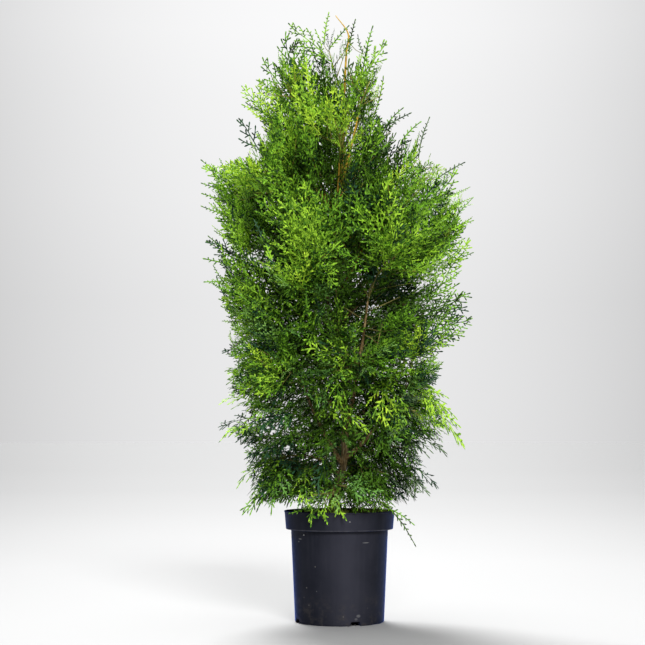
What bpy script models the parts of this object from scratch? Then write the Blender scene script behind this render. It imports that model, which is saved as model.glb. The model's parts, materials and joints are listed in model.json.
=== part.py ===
"""A potted arborvitae: a nursery pot and its root ball, a trunk, its boughs and the masses of foliage.

Metres, +Z up. The origin is the centre of the pot's flat underside. From the front, which faces -Y,
+X is to the right. An azimuth is counted from +X towards +Y, so the front is at 270 degrees.
"""

import math
import random

import bmesh
import bpy
import numpy as np
from mathutils import Matrix, Quaternion, Vector

UP = Vector((0, 0, 1))
CLEARANCE = 0.0003

# The pot: a straight-sided nursery pot with a deep stepped rim.
POT_HEIGHT = 0.240
FOOT_RADIUS = 0.0965
FOOT_ROUNDING = 0.003
BODY_RADIUS = 0.1055
RIM_HEIGHT = 0.040
RIM_LOW_RADIUS = 0.1165
RIM_TOP_RADIUS = 0.1195
LIP_HEIGHT = 0.003
LIP_RADIUS = 0.1206
WALL = 0.0022
ROUND_STEPS = 32

# The drain channels: notches in the foot that run in under the floor and open into it.
DRAIN_COUNT = 4
DRAIN_AZIMUTH = math.radians(290)
DRAIN_WIDTH = 0.024
DRAIN_HEIGHT = 0.0095
DRAIN_INNER = 0.060
DRAIN_SLOT = (0.016, 0.009)

# The root ball fills the pot to just under its lip, with a low mound round the trunk.
SOIL_EDGE = 0.2325
SOIL_MOUND = 0.2375
MOUND_RADIUS = 0.040

# The trunk's line from its cut foot to its tip: height, across and depth, and its radius at each.
TRUNK_HEIGHTS = (0.2378, 0.262, 0.34, 0.42, 0.60, 0.80, 0.91, 1.00, 1.11, 1.25, 1.294, 1.334)
TRUNK_ACROSS = (-0.011, -0.011, 0.009, 0.013, 0.004, -0.006, -0.008, 0.005, 0.0095, 0.016, 0.0195, -0.008)
TRUNK_DEPTH = (0.0, 0.0, 0.0, 0.002, 0.008, 0.004, -0.006, -0.010, -0.008, -0.004, -0.002, 0.0)
TRUNK_RADII = (0.0165, 0.0115, 0.0080, 0.0072, 0.0062, 0.0050, 0.0042, 0.0036, 0.0029, 0.0020, 0.0016, 0.0008)
TRUNK_STATIONS = 19

# The crown's outline: its reach from the pot's axis to the left and to the right at each height.
CROWN_HEIGHTS = (0.19, 0.25, 0.31, 0.38, 0.43, 0.55, 0.68, 0.80, 0.90, 0.99, 1.06, 1.14, 1.20, 1.28, 1.345)
CROWN_LEFT = (
    0.15, 0.215, 0.215, 0.225, 0.262, 0.262, 0.270, 0.290, 0.312, 0.328, 0.250, 0.220, 0.168,
    0.140, 0.03,
)
CROWN_RIGHT = (
    0.14, 0.190, 0.200, 0.230, 0.272, 0.250, 0.285, 0.300, 0.314, 0.275, 0.205, 0.130, 0.105,
    0.100, 0.03,
)

# How the foliage is held at each height, as the rise of its sprays above the level in degrees.
HABIT_HEIGHTS = (0.25, 0.42, 0.60, 0.80, 1.00, 1.25)
HABIT_RISE = (-42, -16, 8, 28, 48, 74)

# Steep leading boughs: the height where each leaves the trunk, and its tip as across, depth, height.
# Each swings outwards on its way by shares of its span, and is thicker than a side bough.
LEADER_SWING = Vector((0.12, 0.12, -0.05))
LEADER_THICKNESS = 1.25
LEADERS = {
    "left_leader": (0.338, (-0.078, -0.080, 0.510)),
    "right_leader": (0.350, (0.090, -0.070, 0.440)),
    "middle_leader": (0.405, (0.060, -0.095, 0.690)),
    "left_shoulder": (0.870, (-0.075, -0.030, 1.085)),
    "right_shoulder": (0.925, (0.040, -0.036, 1.100)),
}

# Side boughs in a rising spiral: their number, the first azimuth and the step between them, then how
# high each starts, how high its tip is, its share of the crown's reach and how far it bows upwards.
SIDE_BOUGHS = 26
SIDE_FIRST = math.radians(262)
GOLDEN_ANGLE = math.pi * (3 - math.sqrt(5))
SIDE_STATIONS = (0.0, 0.2, 0.5, 0.8, 1.0)
SIDE_STARTS = (0.262, 0.395, 0.600, 0.845, 1.030)
SIDE_TIPS = (0.305, 0.440, 0.690, 0.955, 1.110)
SIDE_BOWS = (0.022, 0.016, -0.004, -0.012, -0.010)
SIDE_SHARE = 0.34
LEADER_ROOM = 0.080
BOUGH_STATIONS = 5
BOUGH_FOOT_SHARE = 0.58
BOUGH_TIP_RADIUS = 0.0016
BOUGH_SIDES = 1
TRUNK_SIDES = 3
STEM_SIDES = 0

# A mass's stem goes on from its bough: its share of the way to the crown's skin, its radii, how far it
# keeps straight at first, where its bend lies and how strongly it turns to the foliage's habit.
STEM_SHARE = 0.60
STEM_POINTS = 3
STEM_RADII = (0.0016, 0.0011)
STEM_SQUARE = 0.003
STEM_BEND = 0.4
STEM_HABIT = 1.6

# The top mass's stem leaves the trunk's side: its height, its direction, its bend and its span.
TOP_MASS_START = 1.150
TOP_MASS_SIDE = Vector((-0.45, -0.9, 0.0))
TOP_MASS_BEND = 0.02
TOP_MASS_SPAN = Vector((-0.032, -0.026, 0.095))

# The twigs on each stem: number, first and last place along it, lengths, radii and spread in degrees.
TWIGS = 3
TWIG_PLACES = (0.18, 0.90)
TWIG_LENGTHS = (0.035, 0.075)
TWIG_RADII = (0.0012, 0.0009)
TWIG_SPREAD = (35, 65)
TWIG_TURN_NOISE = 0.4

# The toothed sprays: their number in a mass, how many places are tried, and their sizes.
SPRAYS = 9
SPRAY_TRIES = 110
SPRAY_LENGTHS = (0.120, 0.190)
SPRAY_SHORTEST = 0.060
SPRAY_SHRINKS = (1.0, 0.8, 0.64)
SPRAY_WIDTH_SHARE = 0.62
SPRAY_THICKNESS = 0.0022
SPRAY_ROOT = 0.0022
SPRAY_SINK = 0.00055
EDGE_SHARE = 0.985

# A spray's right half from its root, as shares of its length along it and across it: tooth, notch, tooth.
SPRAY_TEETH = ((0.46, 0.300), (0.36, 0.060), (0.78, 0.265))

# The noise in a spray's azimuth and roll, then in its lean: sideways, up and down, for each kind.
AZIMUTH_NOISE = 0.6
SPRAY_ROLL = 0.5
BROADSIDE_SHARE = 0.5
BROADSIDE_NOISE = (0.9, 0.4)
EDGEWISE_NOISE = (0.4, 0.4, 0.6)
SEED = 500

# Sprays are chosen to lie far apart, and anything in a mass keeps these distances.
SPRAY_SPREAD = 0.120
SPREAD_BASE = 0.06
SPRAY_GAP = 0.0035
CELL_MARGIN = 0.004
LIMB_MARGIN = 0.0045
POT_MARGIN = 0.008

MATERIALS = {
    "pot": ((0.022, 0.024, 0.034), 0.42),
    "soil": ((0.055, 0.035, 0.022), 0.95),
    "bark": ((0.235, 0.110, 0.045), 0.80),
    "foliage": ((0.090, 0.230, 0.020), 0.50),
}


def clear_scene():
    for found in list(bpy.data.objects):
        bpy.data.objects.remove(found, do_unlink=True)


def make_material(name, colour, roughness):
    material = bpy.data.materials.new(name)
    material.use_nodes = True
    shader = material.node_tree.nodes["Principled BSDF"]
    shader.inputs["Base Color"].default_value = (*colour, 1.0)
    shader.inputs["Roughness"].default_value = roughness
    shader.inputs["Metallic"].default_value = 0.0
    return material


def add_object(name, mesh, collection, material=None):
    made = bpy.data.objects.new(name, mesh)
    collection.objects.link(made)
    if material is not None:
        mesh.materials.clear()
        mesh.materials.append(material)
    return made


def hide_helper(helper):
    helper.hide_render = True
    helper.display_type = "WIRE"


def as_mesh(source, name, collection, material):
    """A mesh object of what source evaluates to, in place of source."""
    bpy.context.view_layer.update()
    graph = bpy.context.evaluated_depsgraph_get()
    mesh = bpy.data.meshes.new_from_object(source.evaluated_get(graph))
    mesh.name = name
    mesh.transform(source.matrix_world)
    bpy.data.objects.remove(source, do_unlink=True)
    welded = bmesh.new()
    welded.from_mesh(mesh)
    bmesh.ops.remove_doubles(welded, verts=welded.verts, dist=1e-6)
    welded.to_mesh(mesh)
    welded.free()
    return add_object(name, mesh, collection, material)


def add_boolean(target, operation, collection, solver="EXACT"):
    modifier = target.modifiers.new(operation.lower(), "BOOLEAN")
    modifier.operation = operation
    modifier.operand_type = "COLLECTION"
    modifier.collection = collection
    modifier.solver = solver
    return modifier


def turned(name, profile, collection, material):
    """A turned solid. The profile runs from the axis up the inside and down the outside to the axis."""
    mesh = bpy.data.meshes.new(name)
    points = [(radius, 0.0, height) for radius, height in profile]
    mesh.from_pydata(points, [(i, i + 1) for i in range(len(points) - 1)], [])
    made = add_object(name, mesh, collection, material)
    screw = made.modifiers.new("turn", "SCREW")
    screw.axis = "Z"
    screw.steps = screw.render_steps = ROUND_STEPS
    screw.use_merge_vertices = True
    screw.merge_threshold = 1e-5
    return made


def add_box(name, low, high, turn, collection):
    """A box from its low corner to its high one, turned about the pot's axis."""
    shape = bmesh.new()
    size = [b - a for a, b in zip(low, high)]
    middle = [(a + b) / 2 for a, b in zip(low, high)]
    place = Matrix.Rotation(turn, 4, "Z") @ Matrix.Translation(middle) @ Matrix.Diagonal((*size, 1.0))
    bmesh.ops.create_cube(shape, size=1.0, matrix=place)
    mesh = bpy.data.meshes.new(name)
    shape.to_mesh(mesh)
    shape.free()
    return add_object(name, mesh, collection)


def drain_boxes(name, inner, outer, width, low, high, collection):
    """One box for each drain channel, between two radii and two heights."""
    for i in range(DRAIN_COUNT):
        turn = DRAIN_AZIMUTH + i * 2 * math.pi / DRAIN_COUNT
        corners = (inner, -width / 2, low), (outer, width / 2, high)
        hide_helper(add_box(f"{name}_{i}", *corners, turn, collection))


def pot_profile(inset):
    """The pot's section from its foot to its lip, a distance inside its outer face."""
    shelf = POT_HEIGHT - RIM_HEIGHT
    return [
        (FOOT_RADIUS - FOOT_ROUNDING, inset),
        (FOOT_RADIUS - inset, max(inset, FOOT_ROUNDING)),
        (BODY_RADIUS - inset, shelf + inset),
        (RIM_LOW_RADIUS - inset, shelf + inset),
        (RIM_TOP_RADIUS - inset, POT_HEIGHT - LIP_HEIGHT),
    ]


def build_pot(parts, helpers, material):
    outer = [(0.0, 0.0), *pot_profile(0.0), (LIP_RADIUS, POT_HEIGHT - LIP_HEIGHT), (LIP_RADIUS, POT_HEIGHT)]
    inner = [(0.0, WALL), *pot_profile(WALL), (RIM_TOP_RADIUS - WALL, POT_HEIGHT)]
    pot = turned("pot", inner + outer[::-1], parts, material)
    joins, cuts = helpers("pot_joins"), helpers("pot_cuts")
    wide = DRAIN_WIDTH + 2 * WALL
    roof = DRAIN_HEIGHT + WALL
    drain_boxes("channel", DRAIN_INNER - WALL, FOOT_RADIUS - WALL / 2, wide, WALL / 2, roof, joins)
    drain_boxes("notch", DRAIN_INNER, LIP_RADIUS, DRAIN_WIDTH, -WALL, DRAIN_HEIGHT, cuts)
    start = DRAIN_INNER + WALL
    drain_boxes("slot", start, start + DRAIN_SLOT[0], DRAIN_SLOT[1], WALL, roof + WALL, cuts)
    add_boolean(pot, "UNION", joins)
    add_boolean(pot, "DIFFERENCE", cuts)
    return pot


def build_soil(parts, helpers, material):
    """The root ball, clear of the pot's wall, floor and drain channels."""
    inset = WALL + CLEARANCE
    wall = pot_profile(inset)[:-1]
    edge = RIM_LOW_RADIUS - inset
    profile = [(0.0, SOIL_MOUND), (MOUND_RADIUS, SOIL_MOUND), (edge, SOIL_EDGE), *wall[::-1], (0.0, inset)]
    soil = turned("root_ball", profile, parts, material)
    cuts = helpers("soil_cuts")
    wide = DRAIN_WIDTH + 2 * inset
    drain_boxes("recess", DRAIN_INNER - inset, BODY_RADIUS, wide, 0.0, DRAIN_HEIGHT + inset, cuts)
    add_boolean(soil, "DIFFERENCE", cuts)
    return soil


def smooth_value(at, stations, values):
    """A cubic that runs smoothly through values given at rising stations."""
    slopes = np.gradient(np.array(values), np.array(stations))
    i = int(np.clip(np.searchsorted(stations, at) - 1, 0, len(stations) - 2))
    span = stations[i + 1] - stations[i]
    u = min(max((at - stations[i]) / span, 0.0), 1.0)
    ends = (2 * u**3 - 3 * u**2 + 1) * values[i] + (3 * u**2 - 2 * u**3) * values[i + 1]
    bends = (u**3 - 2 * u**2 + u) * slopes[i] + (u**3 - u**2) * slopes[i + 1]
    return float(ends + span * bends)


def trunk_point(height):
    across = smooth_value(height, TRUNK_HEIGHTS, TRUNK_ACROSS)
    depth = smooth_value(height, TRUNK_HEIGHTS, TRUNK_DEPTH)
    return Vector((across, depth, height))


def trunk_radius(height):
    return float(np.interp(height, TRUNK_HEIGHTS, TRUNK_RADII))


def crown_reach(height, azimuth):
    """How far the crown reaches from the pot's axis at a height, in a direction, for one or many."""
    left = np.interp(height, CROWN_HEIGHTS, CROWN_LEFT, left=0.0, right=0.0)
    right = np.interp(height, CROWN_HEIGHTS, CROWN_RIGHT, left=0.0, right=0.0)
    return left + (right - left) * (1 + np.cos(azimuth)) / 2


def habit_direction(height, azimuth):
    """The direction in which the foliage grows at a height and an azimuth."""
    rise = math.radians(float(np.interp(height, HABIT_HEIGHTS, HABIT_RISE)))
    flat = Vector((math.cos(azimuth), math.sin(azimuth), 0.0))
    return (flat * math.cos(rise) + UP * math.sin(rise)).normalized()


def bezier(start, middle, end, count):
    """Points along a quadratic curve."""
    shares = [i / (count - 1) for i in range(count)]
    return [start * (1 - u) ** 2 + middle * (2 * u * (1 - u)) + end * u**2 for u in shares]


def bough_plans():
    """Each bough's name, route from the trunk's axis to its tip, and radii."""
    plans = []
    for name, (start, tip) in LEADERS.items():
        foot, end = trunk_point(start), Vector(tip)
        middle = foot.lerp(end, 0.5) + (end - foot) * LEADER_SWING
        plans.append((name, foot, middle, end, LEADER_THICKNESS))
    for i in range(SIDE_BOUGHS):
        share = i / (SIDE_BOUGHS - 1)
        azimuth = SIDE_FIRST + i * GOLDEN_ANGLE
        foot = trunk_point(float(np.interp(share, SIDE_STATIONS, SIDE_STARTS)))
        height = float(np.interp(share, SIDE_STATIONS, SIDE_TIPS))
        reach = SIDE_SHARE * float(crown_reach(height, azimuth))
        end = Vector((math.cos(azimuth) * reach, math.sin(azimuth) * reach, height))
        middle = foot.lerp(end, 0.5) + UP * float(np.interp(share, SIDE_STATIONS, SIDE_BOWS))
        if all((end - Vector(tip)).length > LEADER_ROOM for _, tip in LEADERS.values()):
            plans.append((f"bough_{len(plans) - len(LEADERS) + 1}", foot, middle, end, 1.0))
    return [
        (name, bezier(foot, middle, end, BOUGH_STATIONS), bough_radii(foot.z, thickness))
        for name, foot, middle, end, thickness in plans
    ]


def mass_name(bough):
    """The name of the mass at a bough's tip: bough_3 carries mass_3, and a leader its own mass."""
    return bough.replace("bough", "mass") if "bough" in bough else bough + "_mass"


def bough_radii(height, thickness):
    foot = BOUGH_FOOT_SHARE * trunk_radius(height) * thickness
    tip = BOUGH_TIP_RADIUS * thickness
    return [foot + (tip - foot) * i / (BOUGH_STATIONS - 1) for i in range(BOUGH_STATIONS)]


def limb(name, route, radii, resolution, collection, material):
    """A tapering limb with flat ends, as a mesh, along a route of points."""
    curve = bpy.data.curves.new(name, "CURVE")
    curve.dimensions = "3D"
    curve.bevel_depth = 1.0
    curve.bevel_resolution = resolution
    curve.use_fill_caps = True
    spline = curve.splines.new("POLY")
    spline.points.add(len(route) - 1)
    for point, place, radius in zip(spline.points, route, radii):
        point.co = (*place, 1.0)
        point.radius = radius
    source = bpy.data.objects.new(name + "_line", curve)
    collection.objects.link(source)
    made = as_mesh(source, name, collection, material)
    made.data.shade_smooth()
    made.data.set_sharp_from_angle(angle=math.radians(60))
    return made


def trunk_route():
    low, high = TRUNK_HEIGHTS[0], TRUNK_HEIGHTS[-1]
    upright = TRUNK_HEIGHTS[1]
    heights = [low, (low + upright) / 2]
    heights += [upright + (high - upright) * i / (TRUNK_STATIONS - 1) for i in range(TRUNK_STATIONS)]
    return [trunk_point(h) for h in heights], [trunk_radius(h) for h in heights]


class Segments:
    """Straight stretches with a radius, for measuring the room round them."""

    def __init__(self, routes):
        starts, ends, radii = [], [], []
        for route, widths in routes:
            starts += route[:-1]
            ends += route[1:]
            radii += [max(pair) for pair in zip(widths[:-1], widths[1:])]
        self.starts = np.array([tuple(p) for p in starts])
        self.spans = np.array([tuple(p) for p in ends]) - self.starts
        self.radii = np.array(radii)

    def distances(self, points):
        """The distance from each point to the nearest stretch's surface."""
        offsets = points[:, None, :] - self.starts[None]
        along = (offsets * self.spans).sum(2) / (self.spans**2).sum(1)
        nearest = offsets - np.clip(along, 0, 1)[:, :, None] * self.spans[None]
        return (np.linalg.norm(nearest, axis=2) - self.radii).min(axis=1)


def room_ahead(start, direction):
    """How far a line runs from a point before it leaves the crown."""
    step, travelled = 0.004, 0.0
    while travelled < CROWN_HEIGHTS[-1]:
        place = start + direction * (travelled + step)
        if math.hypot(place.x, place.y) > crown_reach(place.z, math.atan2(place.y, place.x)):
            break
        travelled += step
    return travelled


def stem_line(start, leaving, bend, end):
    """A stem's route and radii: it leaves squarely, then bends over to its end."""
    square = start + leaving * STEM_SQUARE
    route = [start, *bezier(square, start + leaving * bend, end, STEM_POINTS)]
    thin, count = STEM_RADII[1], len(route) - 1
    return route, [STEM_RADII[0] + (thin - STEM_RADII[0]) * i / count for i in range(count + 1)]


def stem_plan(route):
    """A mass's stem: it goes on from a bough's tip and bends to the foliage's habit."""
    tip = route[-1]
    leaving = (route[-1] - route[-2]).normalized()
    azimuth = math.atan2(tip.y, tip.x)
    habit = (leaving + STEM_HABIT * habit_direction(tip.z, azimuth)).normalized()
    length = STEM_SHARE * room_ahead(tip, habit)
    return stem_line(tip + leaving * CLEARANCE, leaving, length * STEM_BEND, tip + habit * length)


def top_stem_plan():
    """The highest mass's stem starts on the trunk's own surface and rises beside it."""
    out = TOP_MASS_SIDE.normalized()
    start = trunk_point(TOP_MASS_START) + out * (trunk_radius(TOP_MASS_START) + CLEARANCE)
    return stem_line(start, out, TOP_MASS_BEND, start + TOP_MASS_SPAN)


def along(route, share):
    """The point and the direction at a share of a route's length."""
    lengths = [(b - a).length for a, b in zip(route[:-1], route[1:])]
    left = share * sum(lengths)
    for a, b, length in zip(route[:-1], route[1:], lengths):
        if left <= length:
            break
        left -= length
    direction = (b - a).normalized()
    return a + direction * min(left, length), direction


def spray_matrix(root, direction, facing, roll):
    """A spray's axes: X along it, Z out of its face, which is turned to a facing and then rolled."""
    normal = facing - direction * facing.dot(direction)
    normal = Quaternion(direction, roll) @ normal.normalized()
    turn = Matrix((direction, normal.cross(direction), normal)).transposed()
    return Matrix.Translation(root) @ turn.to_4x4()


def spray_heading(direction, root, broadside, dice):
    """Where a spray points and faces: out from the crown on edge, or along its skin, facing out."""
    azimuth = math.atan2(root.y, root.x) + dice.gauss(0, AZIMUTH_NOISE)
    habit = habit_direction(root.z, azimuth)
    outward = Vector((math.cos(azimuth), math.sin(azimuth), 0.0))
    sideways = UP.cross(outward)
    if broadside:
        aside, above = [dice.gauss(0, noise) for noise in BROADSIDE_NOISE]
        lean = aside * sideways + (habit.z + above) * UP + 0.35 * outward
        return (lean + 0.2 * direction).normalized(), outward
    lean = Vector([dice.gauss(0, noise) for noise in EDGEWISE_NOISE])
    return (0.7 * direction + habit + lean).normalized(), sideways


# The places on a spray where its room is measured, those of them past its root, and the root's share.
SAMPLE_ALONG, SAMPLE_ACROSS = np.meshgrid(np.linspace(0.0, 1.0, 20), np.linspace(-1, 1, 11))
ROOT_SHARE = 0.15
BEYOND_ROOT = (SAMPLE_ALONG > ROOT_SHARE).ravel()


def half_width(share, length):
    """Half of a spray's width at a share of its length: it widens from the root and narrows to the tip."""
    widening, narrowing = 0.15 + 3.2 * share, 0.06 + 1.9 * (1 - share)
    return SPRAY_WIDTH_SHARE * length / 2 * np.clip(np.minimum(widening, narrowing), 0, 1)


def spray_samples(matrix, length):
    """Points spread over the area that a spray takes up."""
    across = SAMPLE_ACROSS * half_width(SAMPLE_ALONG, length)
    local = np.stack([SAMPLE_ALONG * length, across, 0 * across], axis=2).reshape(-1, 3)
    turn = np.array(matrix)
    return local @ turn[:3, :3].T + turn[:3, 3]


def crosses(points, matrix, length):
    """True if any of the points beyond a spray's root come near to another spray's face."""
    turn = np.array(matrix.inverted())
    local = points[BEYOND_ROOT] @ turn[:3, :3].T + turn[:3, 3]
    share = local[:, 0] / length
    within = (share > ROOT_SHARE) & (share < 1.0) & (np.abs(local[:, 1]) < half_width(share, length))
    return bool((np.abs(local[within, 2]) < SPRAY_GAP).any())


class Space:
    """The space of one mass: nearer to its own stem than to any other, clear of limbs, pot and outline."""

    def __init__(self, own, others, limbs):
        self.own, self.others, self.limbs = own, others, limbs

    def holds(self, points):
        """True if all the points are in the space."""
        radius, height = np.hypot(points[:, 0], points[:, 1]), points[:, 2]
        if ((height < POT_HEIGHT + POT_MARGIN) & (radius < LIP_RADIUS + POT_MARGIN)).any():
            return False
        if self.limbs.distances(points).min() < LIMB_MARGIN:
            return False
        if (self.others.distances(points) - self.own.distances(points)).min() < CELL_MARGIN:
            return False
        return bool((radius < crown_reach(height, np.arctan2(points[:, 1], points[:, 0]))).all())


def grow_twigs(stem, space, dice):
    """The twigs on a stem, each as its foot and its tip."""
    twigs = []
    first, last = TWIG_PLACES
    for i in range(TWIGS * 3):
        root, direction = along(stem, first + (last - first) * (i % TWIGS + dice.random()) / TWIGS)
        turn = Quaternion(direction, i * GOLDEN_ANGLE + dice.uniform(-TWIG_TURN_NOISE, TWIG_TURN_NOISE))
        spread = math.radians(dice.uniform(*TWIG_SPREAD))
        side = turn @ direction.orthogonal().normalized()
        tip = root + (direction * math.cos(spread) + side * math.sin(spread)) * dice.uniform(*TWIG_LENGTHS)
        if len(twigs) < TWIGS and space.holds(np.linspace(tuple(root.lerp(tip, 0.25)), tuple(tip), 12)):
            twigs.append([root, tip])
    return twigs


def find_sprays(carriers, space, dice):
    """Sprays that fit: axes, length, centre, sampled points and whether each lies broadside."""
    wood = Segments([(carrier, [TWIG_RADII[0]] * len(carrier)) for carrier in carriers])
    found = []
    for i in range(SPRAY_TRIES):
        share = 1.0 if i < 2 * len(carriers) else dice.uniform(0.2, 1.0)
        root, direction = along(carriers[i % len(carriers)], share)
        broadside = dice.random() < BROADSIDE_SHARE
        heading, facing = spray_heading(direction, root, broadside, dice)
        longest = min(room_ahead(root, heading) * EDGE_SHARE, dice.uniform(*SPRAY_LENGTHS))
        matrix = spray_matrix(root - heading * SPRAY_SINK, heading, facing, dice.gauss(0, SPRAY_ROLL))
        for length in [longest * shrink for shrink in SPRAY_SHRINKS]:
            points = spray_samples(matrix, length)
            if length < SPRAY_SHORTEST or wood.distances(points[BEYOND_ROOT]).min() < SPRAY_GAP:
                continue
            if space.holds(points):
                found.append((matrix, length, root + heading * length / 2, points, broadside))
                break
    return found


def choose_sprays(found):
    """The sprays of a mass: long, far apart, not crossing, edgewise and broadside by turns."""
    chosen = []

    def worth(spray):
        apart = min([(spray[2] - other[2]).length for other in chosen] + [SPRAY_SPREAD])
        return (SPREAD_BASE + apart) * spray[1]

    while found and len(chosen) < SPRAYS:
        wanted = [spray for spray in found if spray[4] == bool(len(chosen) % 2)] or found
        best = max(wanted, key=worth)
        chosen.append(best)
        found = [spray for spray in found if spray is not best and not crosses(spray[3], *best[:2])]
    return [(matrix, length) for matrix, length, *_ in chosen]


def spray_mesh(matrix, length):
    """A toothed blade, flat below and with a ridge above, that starts a little behind its root."""
    shape = bmesh.new()

    def point(x, y, z=0.0):
        return shape.verts.new(matrix @ Vector((x, y, z)))

    root = point(-SPRAY_ROOT, 0.0, SPRAY_THICKNESS)
    ridges = [root] + [point(x * length, 0.0, SPRAY_THICKNESS) for x, _ in SPRAY_TEETH[1::2]]
    tip = point(length, 0.0, SPRAY_THICKNESS / 2)
    rims = []
    for side in (1, -1):
        rim = [point(-SPRAY_ROOT, side * SPRAY_ROOT / 2)]
        rim += [point(x * length, side * y * length) for x, y in SPRAY_TEETH] + [tip]
        rims.append(rim)
        for i, ridge in enumerate(ridges):
            fan = rim[2 * i : 2 * i + 3] + ridges[i + 1 : i + 2]
            for a, b in zip(fan[:-1], fan[1:]):
                shape.faces.new((ridge, a, b) if side < 0 else (ridge, b, a))
    shape.faces.new((root, rims[0][0], rims[1][0]))
    shape.faces.new(rims[0] + rims[1][-2::-1])
    bmesh.ops.recalc_face_normals(shape, faces=shape.faces)
    bmesh.ops.triangulate(shape, faces=[f for f in shape.faces if len(f.verts) > 3])
    mesh = bpy.data.meshes.new("spray")
    shape.to_mesh(mesh)
    shape.free()
    return mesh


def twig_mesh(start, end):
    """A three-sided tapering twig."""
    shape = bmesh.new()
    span = end - start
    place = Matrix.Translation(start.lerp(end, 0.5)) @ span.to_track_quat("Z", "Y").to_matrix().to_4x4()
    radii = {"radius1": TWIG_RADII[0], "radius2": TWIG_RADII[1]}
    bmesh.ops.create_cone(shape, cap_ends=True, segments=3, depth=span.length, matrix=place, **radii)
    mesh = bpy.data.meshes.new("twig")
    shape.to_mesh(mesh)
    shape.free()
    return mesh


def keep_largest(mesh):
    """Drops loose scraps and the skins of sealed hollows: all but the largest joined surface."""
    shape = bmesh.new()
    shape.from_mesh(mesh)
    left, islands = set(shape.faces), []
    while left:
        island, edge = set(), [left.pop()]
        while edge:
            face = edge.pop()
            island.add(face)
            near = {other for side in face.edges for other in side.link_faces} & left
            left -= near
            edge += near
        islands.append(island)
    islands.sort(key=len)
    bmesh.ops.delete(shape, geom=[f for island in islands[:-1] for f in island], context="FACES")
    shape.to_mesh(mesh)
    shape.free()


def build_mass(name, stem, radii, twigs, sprays, parts, helpers, material):
    """One mass of foliage: its stem, joined with its twigs and sprays."""
    made = limb(name + "_stem", stem, radii, STEM_SIDES, parts, material)
    joins = helpers(name + "_joins")
    for start, end in twigs:
        add_object("twig", twig_mesh(start, end), joins)
    for matrix, length in sprays:
        add_object("spray", spray_mesh(matrix, length), joins)
    add_boolean(made, "UNION", joins, solver="MANIFOLD")
    mass = as_mesh(made, name, parts, material)
    keep_largest(mass.data)
    for used in list(joins.objects):
        bpy.data.objects.remove(used, do_unlink=True)
    bpy.data.collections.remove(joins)
    return mass


def main():
    clear_scene()
    root = bpy.context.scene.collection
    parts = bpy.data.collections.new("potted_arborvitae")
    cutters = bpy.data.collections.new("cutters")
    root.children.link(parts)
    root.children.link(cutters)

    def helpers(name):
        made = bpy.data.collections.new(name)
        cutters.children.link(made)
        return made

    materials = {name: make_material(name, *look) for name, look in MATERIALS.items()}
    build_pot(parts, helpers, materials["pot"])
    build_soil(parts, helpers, materials["soil"])

    route, radii = trunk_route()
    limb("trunk", route, radii, TRUNK_SIDES, parts, materials["bark"])
    room = helpers("trunk_room")
    hide_helper(limb("trunk_clearance", route, [r + CLEARANCE for r in radii], TRUNK_SIDES, room, None))

    plans = bough_plans()
    for name, points, widths in plans:
        bough = limb(name, points, widths, BOUGH_SIDES, parts, materials["bark"])
        add_boolean(bough, "DIFFERENCE", room)

    stems = {mass_name(name): stem_plan(points) for name, points, _ in plans}
    stems["mass_top"] = top_stem_plan()
    limbs = Segments([(route, radii)] + [(points, widths) for _, points, widths in plans])
    for number, (name, stem) in enumerate(stems.items()):
        others = Segments([stem_and_radii for other, stem_and_radii in stems.items() if other != name])
        space = Space(Segments([stem]), others, limbs)
        dice = random.Random(SEED + number)
        twigs = grow_twigs(stem[0], space, dice)
        sprays = choose_sprays(find_sprays([stem[0], *twigs], space, dice))
        build_mass(name, *stem, twigs, sprays, parts, helpers, materials["foliage"])


if __name__ == "__main__":
    main()
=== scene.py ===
"""The looks of the potted arborvitae: pot, soil, bark, twigs and foliage, in a plain studio.

Metres, +Z up. The front faces -Y and +X is to the right. An azimuth is counted from +X towards +Y.
"""

import json
import math
import random

import bmesh
import bpy
import numpy as np
from mathutils import Matrix, Quaternion, Vector, noise

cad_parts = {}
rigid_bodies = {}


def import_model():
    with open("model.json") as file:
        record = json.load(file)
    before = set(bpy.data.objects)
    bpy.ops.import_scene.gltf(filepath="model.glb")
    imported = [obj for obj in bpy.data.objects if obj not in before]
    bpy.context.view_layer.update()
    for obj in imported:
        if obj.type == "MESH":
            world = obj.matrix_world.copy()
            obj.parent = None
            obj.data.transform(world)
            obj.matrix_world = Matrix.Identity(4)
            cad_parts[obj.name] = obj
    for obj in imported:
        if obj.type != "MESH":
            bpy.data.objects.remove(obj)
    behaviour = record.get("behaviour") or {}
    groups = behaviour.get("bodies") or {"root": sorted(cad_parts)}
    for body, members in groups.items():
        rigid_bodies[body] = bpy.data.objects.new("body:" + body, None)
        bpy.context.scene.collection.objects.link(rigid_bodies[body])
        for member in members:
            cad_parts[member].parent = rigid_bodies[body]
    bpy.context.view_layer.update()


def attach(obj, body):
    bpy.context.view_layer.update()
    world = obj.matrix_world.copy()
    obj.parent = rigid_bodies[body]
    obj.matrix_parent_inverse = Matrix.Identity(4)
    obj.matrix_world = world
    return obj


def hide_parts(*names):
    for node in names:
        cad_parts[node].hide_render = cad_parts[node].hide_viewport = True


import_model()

UP = Vector((0, 0, 1))
CLEARANCE = 0.0003
SCENE = bpy.context.scene.collection

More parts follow.
